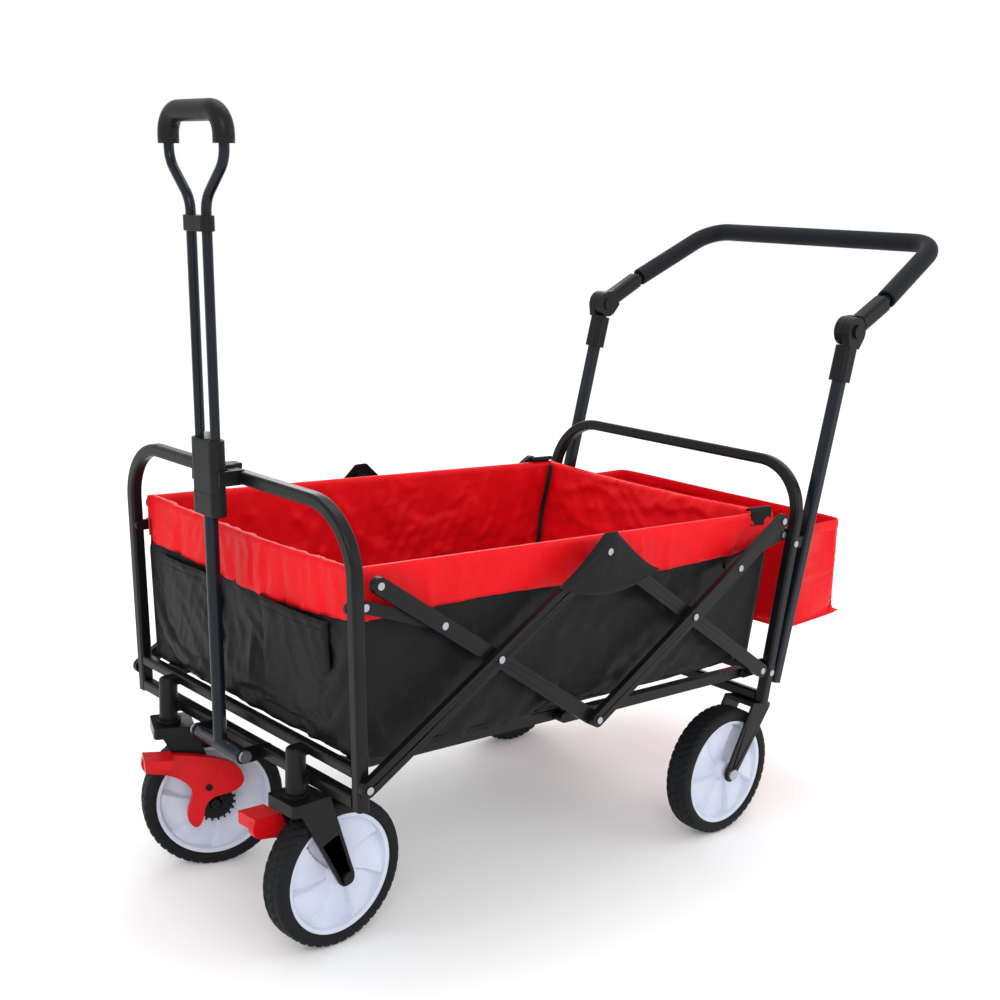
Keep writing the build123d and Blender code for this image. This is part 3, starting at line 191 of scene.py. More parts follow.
def woven(name, colour, roughness, sheen, lighter):
    """Coated plain-weave cloth: thread pitch follows the UV map, which is in metres."""
    made, shader = material(name, colour, roughness, sheen=sheen, specular=0.12)
    shader.inputs["Sheen Roughness"].default_value = 0.4
    uv = add(made, "ShaderNodeUVMap")
    split = add(made, "ShaderNodeSeparateXYZ")
    wire(made, uv.outputs["UV"], split.inputs["Vector"])
    threads = []
    for direction in ("X", "Y"):
        scaled = add(made, "ShaderNodeMath", operation="MULTIPLY")
        scaled.inputs[1].default_value = 2 * math.pi / THREAD_PITCH
        wire(made, split.outputs[direction], scaled.inputs[0])
        wave = add(made, "ShaderNodeMath", operation="SINE")
        wire(made, scaled.outputs[0], wave.inputs[0])
        threads.append(wave.outputs[0])
    weave = add(made, "ShaderNodeMath", operation="MULTIPLY")
    wire(made, threads[0], weave.inputs[0])
    wire(made, threads[1], weave.inputs[1])
    wear = noise_node(made, 9, 5, rough=0.6)
    tint(made, shader, ramp(made, wear, 0, 1), 0.9, lighter)
    wire(made, ramp(made, wear, roughness - 0.06, roughness + 0.08), shader.inputs["Roughness"])
    creases = noise_node(made, 38, 4, (1, 1, 0.45), 0.62)
    under = bump(made, shader, creases, 0.35, 4 * MM)
    bump(made, shader, weave.outputs[0], 0.22, 0.12 * MM, under)
    return made


def steel(name, colour, roughness):
    made, shader = material(name, colour, roughness, metallic=1.0)
    brushed = noise_node(made, 400, 4, (1, 6, 1))
    wire(made, ramp(made, brushed, roughness - 0.08, roughness + 0.12), shader.inputs["Roughness"])
    bump(made, shader, brushed, 0.08, 0.1 * MM)
    return made


looks = {
    "frame_black": coated_metal("frame_coat", (0.005, 0.005, 0.006), 0.3, 0.06),
    "handle_black": coated_metal("handle_coat", (0.005, 0.008, 0.013), 0.22, 0.12),
    "zinc_steel": steel("zinc", (0.40, 0.41, 0.44), 0.32),
    "tyre_rubber": moulded("tyre", (0.008, 0.009, 0.010), 0.6, grain=500, depth=0.5),
    "hub_white": moulded("hub", (0.60, 0.64, 0.76), 0.36, 0.2, grain=350, depth=0.04),
    "brake_red": moulded("brake", (0.62, 0.004, 0.008), 0.36, 0.15, grain=900, depth=0.12),
    "plastic_black": moulded("plastic", (0.007, 0.007, 0.008), 0.4, 0.06),
    "fabric_black": woven("black_cloth", (0.0065, 0.0065, 0.0075), 0.42, 0.0, 1.5),
    "fabric_red": woven("red_cloth", (0.74, 0.003, 0.008), 0.40, 0.03, 1.1),
    "foam_black": moulded("foam", (0.008, 0.010, 0.014), 0.6, grain=1400, depth=0.6),
    "button_grey": moulded("button", (0.35, 0.36, 0.38), 0.35, 0.2),
}


def dress(piece, slot):
    """Give a piece the material for a record slot."""
    piece.data.materials.clear()
    piece.data.materials.append(looks[slot])
    return piece


# ---------------------------------------------------------------------------- CAD nodes that stay
BEVELS = {"rivets": 0.7, "bolt": 0.7, "fork": 1.4, "pedal": 2.2, "clip": 1.0, "socket": 1.2, "housing": 1.0,
          "button": 1.0, "clamp": 1.0, "caps": 1.2, "bracket": 0.8, "links": 0.9, "stays": 0.9, "rails": 0.9,
          "tabs": 0.6}


def soften(node, name):
    """Rounded edges and smooth shading on a CAD node, as modifiers."""
    width = next((value for word, value in BEVELS.items() if word in name), 0)
    for polygon in node.data.polygons:
        polygon.use_smooth = True
    weld = node.modifiers.new("weld", "WELD")
    weld.merge_threshold = 0.01 * MM
    if width:
        edge = node.modifiers.new("edge", "BEVEL")
        edge.width = width * MM
        edge.segments = 2
        edge.limit_method = "ANGLE"
        edge.angle_limit = math.radians(38)
        edge.use_clamp_overlap = True
        edge.harden_normals = False
    normals = node.modifiers.new("normals", "WEIGHTED_NORMAL")
    normals.keep_sharp = True


slot_of = {entry["node"]: entry["material_slot"] for entry in frame["record"]["subparts"]}
for name, node in nodes.items():
    dress(node, slot_of[name])
    soften(node, name)


# ---------------------------------------------------------------------------- mesh helpers
SETTLE_FRAMES = 14


def grid_piece(name, point, columns, rows, slot, size, wrap=False):
    """Sheet of quads over point(u, v), with a UV map in metres; size is the flat width and length."""
    across = columns if wrap else columns + 1
    verts = [point(i / columns, j / rows) for j in range(rows + 1) for i in range(across)]
    faces, uvs = [], []
    for j in range(rows):
        for i in range(columns):
            near, far = i, (i + 1) % across
            below, above = j * across, (j + 1) * across
            faces.append((below + near, below + far, above + far, above + near))
            left, right = size[0] * i / columns, size[0] * (i + 1) / columns
            low, high = size[1] * j / rows, size[1] * (j + 1) / rows
            uvs += [(left, low), (right, low), (right, high), (left, high)]
    mesh = bpy.data.meshes.new(name)
    mesh.from_pydata([tuple(v) for v in verts], [], faces)
    layer = mesh.uv_layers.new(name="UVMap")
    for loop, uv in enumerate(uvs):
        layer.data[loop].uv = uv
    for polygon in mesh.polygons:
        polygon.use_smooth = True
    mesh.validate()
    piece = bpy.data.objects.new(name, mesh)
    bpy.context.scene.collection.objects.link(piece)
    return dress(piece, slot)


def thicken(piece, thickness):
    """Give a sheet its thickness, half to each side."""
    shell = piece.modifiers.new("thickness", "SOLIDIFY")
    shell.thickness = thickness
    shell.offset = 0.0


def slacken(piece, held, slack, reach, away=None, gravity=0.4):
    """Let cloth settle between held points: its cut is larger than its span by slack; reach caps the travel.

    away gives, for a vertex number, the direction that leads off the layer behind it. Moves against it are
    dropped.
    """
    start = [vertex.co.copy() for vertex in piece.data.vertices]
    group = piece.vertex_groups.new(name="held")
    group.add([i for i, co in enumerate(start) if held(co)], 1.0, "REPLACE")
    cloth = piece.modifiers.new("cloth", "CLOTH")
    settings = cloth.settings
    settings.quality = 5
    settings.mass = 0.25
    settings.tension_stiffness = settings.compression_stiffness = 18
    settings.shear_stiffness = 8
    settings.bending_stiffness = 0.25
    settings.shrink_min = -slack
    settings.vertex_group_mass = "held"
    settings.effector_weights.gravity = gravity
    cloth.point_cache.frame_end = SETTLE_FRAMES
    for step in range(1, SETTLE_FRAMES + 1):
        bpy.context.scene.frame_set(step)
    graph = bpy.context.evaluated_depsgraph_get()
    settled = [vertex.co.copy() for vertex in piece.evaluated_get(graph).data.vertices]
    piece.modifiers.remove(cloth)
    bpy.context.scene.frame_set(1)
    for vertex, before, after in zip(piece.data.vertices, start, settled):
        move = after - before
        if away:
            off = away(vertex.index)
            move -= off * min(0.0, move.dot(off))
        vertex.co = before + move * min(1.0, reach / max(move.length, 1e-9))
    piece.vertex_groups.clear()


def ridges(u, v, seed):
    """Directional creases of coated cloth, from -1 to 1."""
    total = 0.0
    for turn, scale, weight in ((25, 5.0, 0.5), (-38, 7.5, 0.32), (80, 11.0, 0.18)):
        a = math.radians(turn + 9 * seed)
        along = u * math.cos(a) + v * math.sin(a)
        over = v * math.cos(a) - u * math.sin(a)
        value = noise.noise(Vector((over * scale * 2.2, along * scale * 0.7, seed * 7.3 + turn)))
        total += weight * (1 - 2 * min(1.0, abs(value) * 2.4))
    return total


# ---------------------------------------------------------------------------- tub cloth
def tub_corner(along, up):
    """Point on the tub's side outline: along runs front to rear, up runs floor to rim."""
    return lerp(lerp(FRONT_BOTTOM, REAR_BOTTOM, along), lerp(FRONT_RIM, REAR_RIM, along), up)


def profile(height, drop):
    """Section of a liner wall: distances up the inside, over the rim and down outside."""
    round_rim = math.pi * RIM_ROUND
    total = height + round_rim + drop

    def at(v):
        s = v * total
        if s <= height:
            return 0.0, s
        if s <= height + round_rim:
            turn = (s - height) / RIM_ROUND
            return RIM_ROUND * (1 - math.cos(turn)), height + RIM_ROUND * math.sin(turn)
        return 2 * RIM_ROUND, height - (s - height - round_rim)
    return at, total


def calm_at(v):
    """1 on the open wall, falling to 0 where it tucks under the band."""
    return 1 - smooth_step(0.78, 0.92, v)


def band_side(index, columns, height, total):
    """1 for a liner vertex in the band outside, -1 for one in the panel inside."""
    return 1 if index // (columns + 1) > LINER_ROWS * height / total else -1


def side_sheets(side):
    """Black outer wall and red liner of one side; side is -1 on the left."""
    word = "left" if side < 0 else "right"
    length = (REAR_RIM - FRONT_RIM).length
    height = (FRONT_RIM - FRONT_BOTTOM).length - WALL_SHORT

    def outer(u, v):
        p = tub_corner(u, v * WALL_SHARE)
        calm = calm_at(v)
        crease = ridges(u * 1.6, v * 0.6, 3 + side) * math.sin(math.pi * u) ** 0.5 * calm
        belly = 3 * MM * math.sin(math.pi * v) * math.sin(math.pi * u) * calm
        tuck = 2.5 * MM * (1 - calm)
        return Vector((p.x, side * (HALF - 3 * MM + belly - tuck + 2.6 * MM * crease), p.z))

    wall = grid_piece(f"tub_wall_{word}", outer, 120, 40, "fabric_black", (length, height))
    at, total = profile(height - LINER_SHORT, BAND_DROP_SIDE)

    def liner(u, v):
        out, up = at(v)
        share = up / height
        p = tub_corner(u, share)
        inside = HALF - LINER_IN
        edge = max(0.0, (v - 0.8) / 0.2) * 3 * MM * math.sin(9 * u + side)
        crease = ridges(u * 1.8, v * 0.8, 11 + side)
        if out > RIM_ROUND:
            shift = 1.5 * MM * abs(crease)
        else:
            shift = -5 * MM * max(0.0, crease + 0.35) * (1 - share ** 6)
        return Vector((p.x, side * (inside + out + shift), p.z + (edge if out > RIM_ROUND else 0)))

    lining = grid_piece(f"tub_liner_{word}", liner, SIDE_COLUMNS, LINER_ROWS, "fabric_red", (length, total))

    def rim_z(x):
        return lerp(FRONT_RIM.z, REAR_RIM.z, (x - FRONT_RIM.x) / length) - 14 * MM

    def wall_held(co):
        ends = co.x < FRONT_BOTTOM.x + 4 * MM or co.x > REAR_RIM.x - 4 * MM
        return ends or co.z > rim_z(co.x) - 30 * MM or co.z < FRONT_BOTTOM.z - 4 * MM

    def lining_held(co):
        ends = co.x < FRONT_RIM.x + 6 * MM or co.x > REAR_RIM.x - 8 * MM
        return ends or co.z > rim_z(co.x) or co.z < FRONT_BOTTOM.z + 3 * MM

    def lining_away(index):
        return Vector((0, band_side(index, SIDE_COLUMNS, height - LINER_SHORT, total) * side, 0))

    slacken(wall, wall_held, 0.012, 7 * MM, away=lambda index: Vector((0, side, 0)))
    slacken(lining, lining_held, 0.02, 8 * MM, away=lining_away)
    for piece in (wall, lining):
        thicken(piece, CLOTH_THICK)
        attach(piece, "front_frame")
        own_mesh(piece)
    return wall


def end_sheets(name, bottom, rim, out, body, drop, seed):
    """Outer wall and red liner of the front (out -1) or rear (out +1) end."""
    width = 2 * (HALF - 2 * MM)
    height = (rim - bottom).length - WALL_SHORT

    def outer(u, v):
        p = lerp(bottom, rim, v * WALL_SHARE)
        calm = calm_at(v)
        crease = 3 * MM * ridges(u * 1.2, v * 0.6, seed) * calm * min(1.0, 12 * u * (1 - u))
        off = crease + 1.5 * MM * calm - 6.5 * MM * (1 - calm)
        return Vector((p.x + out * off, (2 * u - 1) * (HALF - 3 * MM), p.z))

    wall = grid_piece(f"tub_wall_{name}", outer, 90, 40, "fabric_black", (width, height))
    at, total = profile(height - LINER_SHORT, drop)

    def liner(u, v):
        outward, up = at(v)
        p = lerp(bottom, rim, up / height)
        edge = max(0.0, (v - 0.8) / 0.2) * 4 * MM * math.sin(7 * u + seed)
        crease = ridges(u * 1.3, v * 0.8, seed + 5) * min(1.0, 10 * u * (1 - u))
        shift = 2.5 * MM * abs(crease) if outward > RIM_ROUND else -5 * MM * max(0.0, crease + 0.3)
        sag = -5 * MM * math.sin(math.pi * u)
        return Vector((p.x + out * (outward - LINER_IN + shift), (2 * u - 1) * (HALF - LINER_IN + outward),
                       p.z + (edge if outward > RIM_ROUND else 0) + sag * up / height))

    lining = grid_piece(f"tub_liner_{name}", liner, END_COLUMNS, LINER_ROWS, "fabric_red", (width, total))

    def held_from(margin):
        """Test for cloth held at both sides, at the bottom and within margin of the rim."""
        return lambda co: abs(co.y) > HALF - 8 * MM or co.z > rim.z - margin or co.z < bottom.z + 4 * MM

    def lining_away(index):
        return Vector((band_side(index, END_COLUMNS, height - LINER_SHORT, total) * out, 0, 0))

    slacken(wall, held_from(46 * MM), 0.014, 8 * MM, away=lambda index: Vector((out, 0, 0)))
    slacken(lining, held_from(20 * MM), 0.02, 8 * MM, away=lining_away)
    for piece in (wall, lining):
        thicken(piece, CLOTH_THICK)
        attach(piece, body)
    return wall


def tub_floor():
    """Padded floor panel, seen from above and below."""
    def surface(u, v):
        p = lerp(FRONT_BOTTOM, REAR_BOTTOM, u)
        dip = 4 * MM * math.sin(math.pi * u) * math.sin(math.pi * v)
        return Vector((p.x, (2 * v - 1) * (HALF - 3 * MM), p.z + 2 * MM - dip + 1.2 * MM * ridges(u, v, 2)))

    size = (REAR_BOTTOM.x - FRONT_BOTTOM.x, 2 * HALF)
    piece = grid_piece("tub_floor_panel", surface, 90, 60, "fabric_black", size)
    thicken(piece, 4 * MM)
    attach(piece, "front_frame")
    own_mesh(piece)
    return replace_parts(piece, "tub_floor")


POCKET_IN, POCKET_OUT = 0.05, 0.19       # a pocket's edges, from the centreline
POCKET_LOW, POCKET_HIGH = 0.09, 0.68     # its bottom and top, as shares of the front wall


def pockets():
    """Two flat pockets with bound tops and side folds on the front wall."""
    height = (FRONT_RIM - FRONT_BOTTOM).length
    for side in (-1, 1):
        word = "left" if side < 0 else "right"

        def surface(u, v):
            across = lerp(POCKET_IN, POCKET_OUT, u) if side < 0 else lerp(-POCKET_OUT, -POCKET_IN, u)
            p = lerp(FRONT_BOTTOM, FRONT_RIM, lerp(POCKET_LOW, POCKET_HIGH, v))
            puff = 8 * MM * math.sin(math.pi * u) ** 0.4 * (0.35 + 0.65 * v) * smooth_step(0.0, 0.15, v)
            crease = 1.5 * MM * ridges(u * 0.5, v * 0.5, 51 + side)
            return Vector((p.x - 4.5 * MM - puff - crease, -across, p.z))

        piece = grid_piece(f"front_pocket_{word}", surface, 40, 40, "fabric_black", (0.15, 0.6 * height))
        thicken(piece, 1.2 * MM)
        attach(piece, "front_frame")
        for name, v in (("top", 0.97), ("bind", 0.91)):
            path = [surface(i / 24, v) + Vector((-1.0 * MM, 0, 0)) for i in range(25)]
            stitched(f"front_pocket_stitches_{name}_{word}", path, "front_frame")


LOOP_OVER = 0.35                         # share of a loop's length that goes over the rim


def corner_trim():
    """Black binding down the inside of both rear corners, and a loop patch outside each on the rim."""
    for side in (-1, 1):
        word = "left" if side < 0 else "right"

        def strip(u, v):
            p = lerp(REAR_BOTTOM, REAR_RIM, lerp(0.05, 0.97, v))
            wave = 1.5 * MM * math.sin(11 * v + side)
            across = HALF - LINER_IN - 9 * MM - 5 * MM * (1 - u) + wave
            return Vector((p.x - LINER_IN - 8 * MM - 5 * MM * u, side * across, p.z))

        binding = grid_piece(f"tub_binding_{word}", strip, 6, 60, "fabric_black", (0.014, 0.2))
        thicken(binding, 1.4 * MM)
        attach(binding, "rear_frame")

        def patch(u, v):
            x = REAR_RIM.x - 52 * MM + 46 * MM * u
            z = FRONT_RIM.z + (REAR_RIM.z - FRONT_RIM.z) * (x - FRONT_RIM.x) / (REAR_RIM.x - FRONT_RIM.x)
            if v < LOOP_OVER:
                turn = math.pi * min(1.0, v / LOOP_OVER)
                out, lift = -5 * MM * math.cos(turn), 5 * MM * math.sin(turn)
            else:
                out, lift = 5 * MM, -(max(0.0, v - LOOP_OVER) / (1 - LOOP_OVER) * 20 * MM)
            return Vector((x, side * (HALF - LINER_IN + 4 * MM + out), z - 1 * MM + lift))

        loop = grid_piece(f"tub_loop_{word}", patch, 14, 30, "fabric_black", (0.046, 0.036))
        thicken(loop, 1.0 * MM)
        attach(loop, "rear_frame")


left_wall = side_sheets(-1)
side_sheets(1)
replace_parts(left_wall, "tub_side_walls")
front_wall = end_sheets("front", FRONT_BOTTOM, FRONT_RIM, -1, "front_frame",
                        BAND_DROP_FRONT, 21)
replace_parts(front_wall, "tub_front_wall")
rear_wall = end_sheets("rear", REAR_BOTTOM, REAR_RIM, 1, "rear_frame", BAND_DROP_SIDE, 31)
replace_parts(rear_wall, "tub_rear_wall")
tub_floor()


# ---------------------------------------------------------------------------- rear bag
BAG_MOUTH = 89 * MM          # front to back at the mouth
BAG_SET_BACK = 17 * MM       # the rear wall leans forward by this towards the mouth
BAG_DEPTH = 0.135            # flat cut of the bottom panel, front to back
BAG_CORNER_POWER = 0.16      # superellipse power; nearer 0 is squarer


def bag():
    """Open bag: four walls lofted between a bottom and a mouth outline, and a bottom panel."""
    front_shift = bag_high.x - bag_low.x - BAG_MOUTH - BAG_SET_BACK

    def outline(t, up):
        """Rounded rectangle in plan at a height share; t runs once round."""
        x0 = bag_low.x + front_shift * up
        x1 = lerp(bag_high.x, bag_high.x - BAG_SET_BACK, up)
        half = (bag_high.y - 4 * MM) - 4 * MM * math.sin(math.pi * up)
        a = 2 * math.pi * t
        cx, cy = math.cos(a), math.sin(a)
        sx = math.copysign(abs(cx) ** BAG_CORNER_POWER, cx)
        sy = math.copysign(abs(cy) ** BAG_CORNER_POWER, cy)
        return Vector(((x0 + x1) / 2 + (x1 - x0) / 2 * sx, half * sy, 0))

    def bottom_z(x):
        return bag_low.z + 6 * MM * (x - bag_low.x) / (bag_high.x - bag_low.x) + 2 * MM

    def still(co):
        return co.z > bag_high.z - 10 * MM or co.z < bottom_z(co.x) + 3 * MM

    def shell(u, v):
        p = outline(u, v)
        z = lerp(bottom_z(p.x), bag_high.z - 2 * MM, v)
        crease = 3 * MM * ridges(u * 4, v * 0.8, 41) * math.sin(math.pi * min(1, v * 1.05))
        inward = Vector((bag_low.x * 0.5 + bag_high.x * 0.5 - p.x, -p.y, 0)).normalized()
        return Vector((p.x, p.y, z)) + inward * (2 * MM + max(0, crease))

    height = bag_high.z - bag_low.z
    round_length = 2 * (2 * bag_high.y + 0.11)
    walls = grid_piece("bag_walls", shell, 260, 40, "fabric_red", (round_length, height), wrap=True)
    slacken(walls, still, 0.02, 7 * MM, gravity=1.0)
    thicken(walls, 1.2 * MM)

    def base(u, v):
        x = lerp(bag_low.x + 3 * MM, bag_high.x - 3 * MM, u)
        dip = -3 * MM * math.sin(math.pi * u) * math.sin(math.pi * v)
        return Vector((x, (2 * v - 1) * (bag_high.y - 8 * MM), bottom_z(x) + 1 * MM + dip * 0.3))

    floor = grid_piece("bag_bottom", base, 24, 60, "fabric_red", (BAG_DEPTH, 2 * bag_high.y))
    thicken(floor, 1.5 * MM)

    def hem(u, v):
        p = outline(u, 1.0)
        a = 2 * math.pi * v
        inward = Vector((bag_low.x * 0.5 + bag_high.x * 0.5 - p.x, -p.y, 0)).normalized()
        return Vector((p.x, p.y, bag_high.z - 9 * MM)) + inward * (2 * MM + 1.6 * MM * math.cos(a)) + Vector(
            (0, 0, 8 * MM * math.sin(a)))

    edge = grid_piece("bag_hem", hem, 260, 12, "fabric_red", (round_length, 0.04), wrap=True)
    for piece in (walls, floor, edge):
        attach(piece, "rear_frame")
    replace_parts(walls, "rear_bag")


bag()


# ---------------------------------------------------------------------------- side flaps
FLAP_WING = 0.244            # height of the wing tips, as a share of the flap's
FLAP_SHOULDER = 0.12         # half width of the flat top, as a share of the flap's
STITCH_PITCH = 4.2 * MM
STITCH_RADIUS = 0.45 * MM


def flap(side):
    """Cloth flap over a top vertex, hemmed and sewn round its edge."""
    word = "left" if side < 0 else "right"
    low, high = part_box("side_flaps")
    outside = high.y - CLOTH
    width, height = high.x - low.x, high.z - low.z
    wing = low.z + FLAP_WING * height

    def surface(u, v):
        s = 2 * u - 1
        lower = wing - (wing - low.z) * (1 - s * s)
        rise = max(0.0, 1 - max(0.0, abs(s) - FLAP_SHOULDER) / (1 - FLAP_SHOULDER))
        upper = wing + (high.z - wing) * rise ** 1.25
        x = lerp(low.x, high.x, u)
        z = lerp(lower, upper, v)
        crease = 1.2 * MM * math.exp(-((s * 9 - 0.5) ** 2)) * v
        return Vector((x, side * (outside + crease - 6 * MM * v ** 3), z))

    piece = grid_piece(f"side_flap_{word}", surface, 48, 26, "fabric_black", (width, height))
    thicken(piece, 1.2 * MM)
    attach(piece, "side_flaps")

    inset = 0.12
    outline = [(i / 30, inset) for i in range(2, 29)] + [(i / 30, 1 - inset) for i in range(28, 1, -1)]
    path = [surface(u, v) + Vector((0, side * 0.8 * MM, 0)) for u, v in outline]
    stitched(f"side_flap_stitches_{word}", path, "side_flaps", closed=True)
    return piece


def stitched(name, path, body, closed=False):
    """Short thread stitches along a path, as one mesh of small rounded bars."""
    points = path + path[:1] if closed else path
    verts, faces = [], []
    carry = 0.0
    for a, b in zip(points, points[1:]):
        run = (b - a).length
        if run < 1e-7:
            continue
        d = (b - a) / run
        while carry < run:
            start, end = a + d * carry, a + d * min(run, carry + STITCH_PITCH * 0.62)
            side = d.cross(Vector((0.3, 1, 0.2))).normalized()
            lift = d.cross(side).normalized()
            base = len(verts)
            bar = ((start, 0.3), (lerp(start, end, 0.3), 1), (lerp(start, end, 0.7), 1), (end, 0.3))
            for p, scale in bar:
                for k in range(6):
                    t = 2 * math.pi * k / 6
                    verts.append(p + side * STITCH_RADIUS * scale * math.cos(t)
                                 + lift * STITCH_RADIUS * scale * math.sin(t))
            for ring in range(3):
                for k in range(6):
                    n = (k + 1) % 6
                    faces.append((base + ring * 6 + k, base + ring * 6 + n, base + ring * 6 + 6 + n,
                                  base + ring * 6 + 6 + k))
            faces += [tuple(base + k for k in range(5, -1, -1)), tuple(base + 18 + k for k in range(6))]
            carry += STITCH_PITCH
        carry -= run
    mesh = bpy.data.meshes.new(name)
    mesh.from_pydata([tuple(v) for v in verts], [], faces)
    mesh.uv_layers.new(name="UVMap")
    piece = bpy.data.objects.new(name, mesh)
    bpy.context.scene.collection.objects.link(piece)
    dress(piece, "fabric_black")
    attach(piece, body)


pockets()
corner_trim()
flap_left = flap(-1)
flap(1)
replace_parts(flap_left, "side_flaps")


# ---------------------------------------------------------------------------- wheels
AXLE_R = 6.1 * MM
WHEEL_TURNS = {"rear_left": 12, "rear_right": 40, "front_left": 5, "front_right": 25}    # degrees of roll


def tyre_mesh():
    """Tyre with slanted tread blocks and shoulder lugs."""
    bead, crown = 76 * MM, WHEEL_R
    lugs = 44
    section = [(bead, -0.86), (bead + 2 * MM, -0.98), (bead + 6 * MM, -1.0), (crown - 8 * MM, -1.0),
               (crown - 4.5 * MM, -0.9), (crown - 2.6 * MM, -0.74), (crown - 2 * MM, -0.5),
               (crown - 1.8 * MM, 0.0)]
    section += [(r, -y) for r, y in reversed(section[:-1])]

    def base(v):
        s = v * (len(section) - 1)
        i = min(int(s), len(section) - 2)
        a, b = section[i], section[i + 1]
        return lerp(a[0], b[0], s - i), lerp(a[1], b[1], s - i)

    def point(u, v):
        radius, y = base(v)
        tread = smooth_step(crown - 9 * MM, crown - 5 * MM, radius)
        slant = u * lugs + 1.1 * abs(y) + (0.5 if y > 0 else 0)
        groove = abs((slant % 1.0) - 0.5) * 2
        block = smooth_step(0.12, 0.34, groove)
        centre = smooth_step(0.02, 0.12, abs(abs(y) - 0.3))
        lift = 1.8 * MM * tread * block * centre
        angle = 2 * math.pi * u
        r = radius + lift
        return Vector((r * math.cos(angle), y * TYRE_HALF, r * math.sin(angle)))

    return grid_piece("tyre_source", point, 432, 40, "tyre_rubber", (2 * math.pi * crown, 0.07), wrap=True)


def hub_mesh():
    """Dished disc with turbine facets on both faces, a rim ring and a boss."""
    rim, boss = 74 * MM, 13 * MM
    facets = 7
    rings = [(AXLE_R, 0.93, 0), (boss - 2 * MM, 0.93, 0), (boss, 0.86, 0), (boss + 1 * MM, 0.5, 0.15)]
    rings += [(lerp(boss + 3 * MM, rim - 5 * MM, k / 9), 0.36 + 0.1 * k / 9, 0.25 + 0.75 * k / 9)
              for k in range(10)]
    rings += [(rim - 4 * MM, 0.55, 0.4), (rim - 3 * MM, 0.80, 0), (rim - 1 * MM, 0.86, 0),
              (rim + 2.4 * MM, 0.86, 0)]
    around = facets * 26
    verts, faces, uvs = [], [], []
    for face_side in (-1, 1):
        for radius, depth, amount in rings:
            for k in range(around):
                share = (k / around * facets + 0.35 * radius / rim) % 1.0
                step = smooth_step(0.0, 0.07, share) * (1 - share)
                y = depth + amount * (0.5 * step - 0.2)
                angle = 2 * math.pi * k / around
                verts.append((radius * math.cos(angle), face_side * y * TYRE_HALF, radius * math.sin(angle)))
    count = len(rings)
    for side_index in range(2):
        for ring in range(count - 1):
            for k in range(around):
                n = (k + 1) % around
                a = (side_index * count + ring) * around
                quad = (a + k, a + n, a + around + n, a + around + k)
                faces.append(quad if side_index == 1 else quad[::-1])
    outer_a, outer_b = (count - 1) * around, (2 * count - 1) * around
    inner_b = count * around
    for k in range(around):
        n = (k + 1) % around
        faces.append((outer_a + k, outer_b + k, outer_b + n, outer_a + n))
        faces.append((k, n, inner_b + n, inner_b + k))
    mesh = bpy.data.meshes.new("hub_source")
    mesh.from_pydata(verts, [], faces)
    mesh.uv_layers.new(name="UVMap")
    for polygon in mesh.polygons:
        polygon.use_smooth = True
    mesh.validate()
    mesh.set_sharp_from_angle(angle=math.radians(34))
    piece = bpy.data.objects.new("hub_source", mesh)
    bpy.context.scene.collection.objects.link(piece)
    return dress(piece, "hub_white")


tyre_source, hub_source = tyre_mesh(), hub_mesh()
for place, degrees in WHEEL_TURNS.items():
    end, side = place.split("_")
    spin = joints[f"{end}_wheel_spin_{side}"]
    across = Vector(spin["axis"]).normalized()
    turn = Vector((0, -1, 0)).rotation_difference(across).to_matrix().to_4x4()
    roll = Matrix.Rotation(math.radians(degrees), 4, "Y")
    for source, kind in ((tyre_source, "tyre"), (hub_source, "hub")):
        copy = source.copy()
        copy.data = source.data.copy()
        copy.name = f"{kind}_shape_{place}"
        copy.data.transform(roll)
        bpy.context.scene.collection.objects.link(copy)
        copy.matrix_world = Matrix.Translation(Vector(spin["pos_m"])) @ turn
        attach(copy, f"{end}_wheel_{side}")
        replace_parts(copy, f"{kind}_{place}")
for source in (tyre_source, hub_source):
    bpy.data.objects.remove(source)


# ---------------------------------------------------------------------------- stage, light and camera
def area_light(name, place, aim, size, power, colour=(1, 1, 1)):
    data = bpy.data.lights.new(name, "AREA")
    data.shape = "RECTANGLE"
    data.size, data.size_y = size
    data.energy = power
    data.color = colour
    lamp = bpy.data.objects.new(name, data)
    bpy.context.scene.collection.objects.link(lamp)
    lamp.location = place
    lamp.rotation_euler = (Vector(aim) - Vector(place)).to_track_quat("-Z", "Y").to_euler()


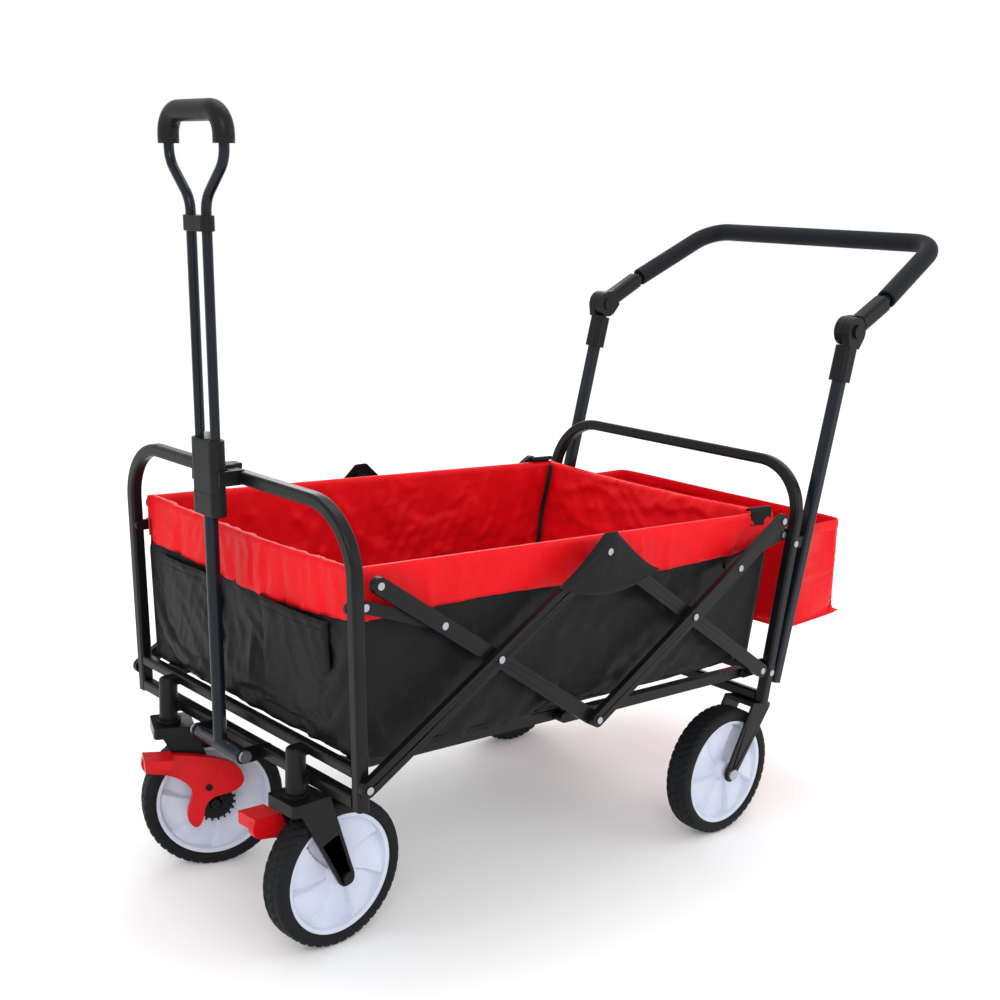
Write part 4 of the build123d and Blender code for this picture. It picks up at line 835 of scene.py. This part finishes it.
def stage():
    """White floor and world, and four soft lights."""
    floor_mesh = bpy.data.meshes.new("studio_floor")
    reach = 14.0
    corners = [(-reach, -reach, 0), (reach, -reach, 0), (reach, reach, 0), (-reach, reach, 0)]
    floor_mesh.from_pydata(corners, [], [(0, 1, 2, 3)])
    floor = bpy.data.objects.new("studio_floor", floor_mesh)
    bpy.context.scene.collection.objects.link(floor)
    made, shader = material("studio_white", (0.93, 0.93, 0.93), 0.9, specular=0.0)
    shader.inputs["Emission Color"].default_value = (1, 1, 1, 1)
    shader.inputs["Emission Strength"].default_value = 0.1
    tint(made, shader, ramp(made, noise_node(made, 0.8, 2), 0, 1), 0.995, 1.0)
    floor.data.materials.append(made)
    world = bpy.data.worlds.new("studio")
    bpy.context.scene.world = world
    world.use_nodes = True
    world.node_tree.nodes["Background"].inputs["Color"].default_value = (1, 1, 1, 1)
    world.node_tree.nodes["Background"].inputs["Strength"].default_value = 1.0
    area_light("key", (-2.4, -2.6, 2.6), (0, 0, 0.4), (1.6, 1.2), 34)
    area_light("fill", (2.6, -3.0, 1.6), (0, 0, 0.4), (1.8, 1.4), 12)
    area_light("top", (0.2, 0.4, 3.2), (0, 0, 0.3), (2.2, 1.6), 22)
    area_light("rim", (1.8, 2.8, 2.0), (0, 0, 0.4), (1.4, 1.0), 16)


CAMERA_AT = Vector((-1.42301, -1.464, 0.902))
CAMERA_TURN = (47.95, 12.03, 2.18)       # yaw, downward pitch and roll, degrees
CAMERA_LENS = 51.45


def camera():
    """Camera at the front left, from its yaw, downward pitch and roll."""
    yaw, pitch, roll = (math.radians(a) for a in CAMERA_TURN)
    forward = Vector((math.cos(yaw) * math.cos(pitch), math.sin(yaw) * math.cos(pitch), -math.sin(pitch)))
    level = Vector((math.sin(yaw), -math.cos(yaw), 0))
    upright = level.cross(forward)
    right = level * math.cos(roll) + upright * math.sin(roll)
    up = right.cross(forward)
    data = bpy.data.cameras.new("camera")
    data.sensor_width = 36
    data.lens = CAMERA_LENS
    seen = bpy.data.objects.new("camera", data)
    bpy.context.scene.collection.objects.link(seen)
    seen.matrix_world = Matrix.Translation(CAMERA_AT) @ Matrix((right, up, -forward)).transposed().to_4x4()
    bpy.context.scene.camera = seen


stage()
camera()
bpy.context.scene.view_settings.view_transform = "Standard"
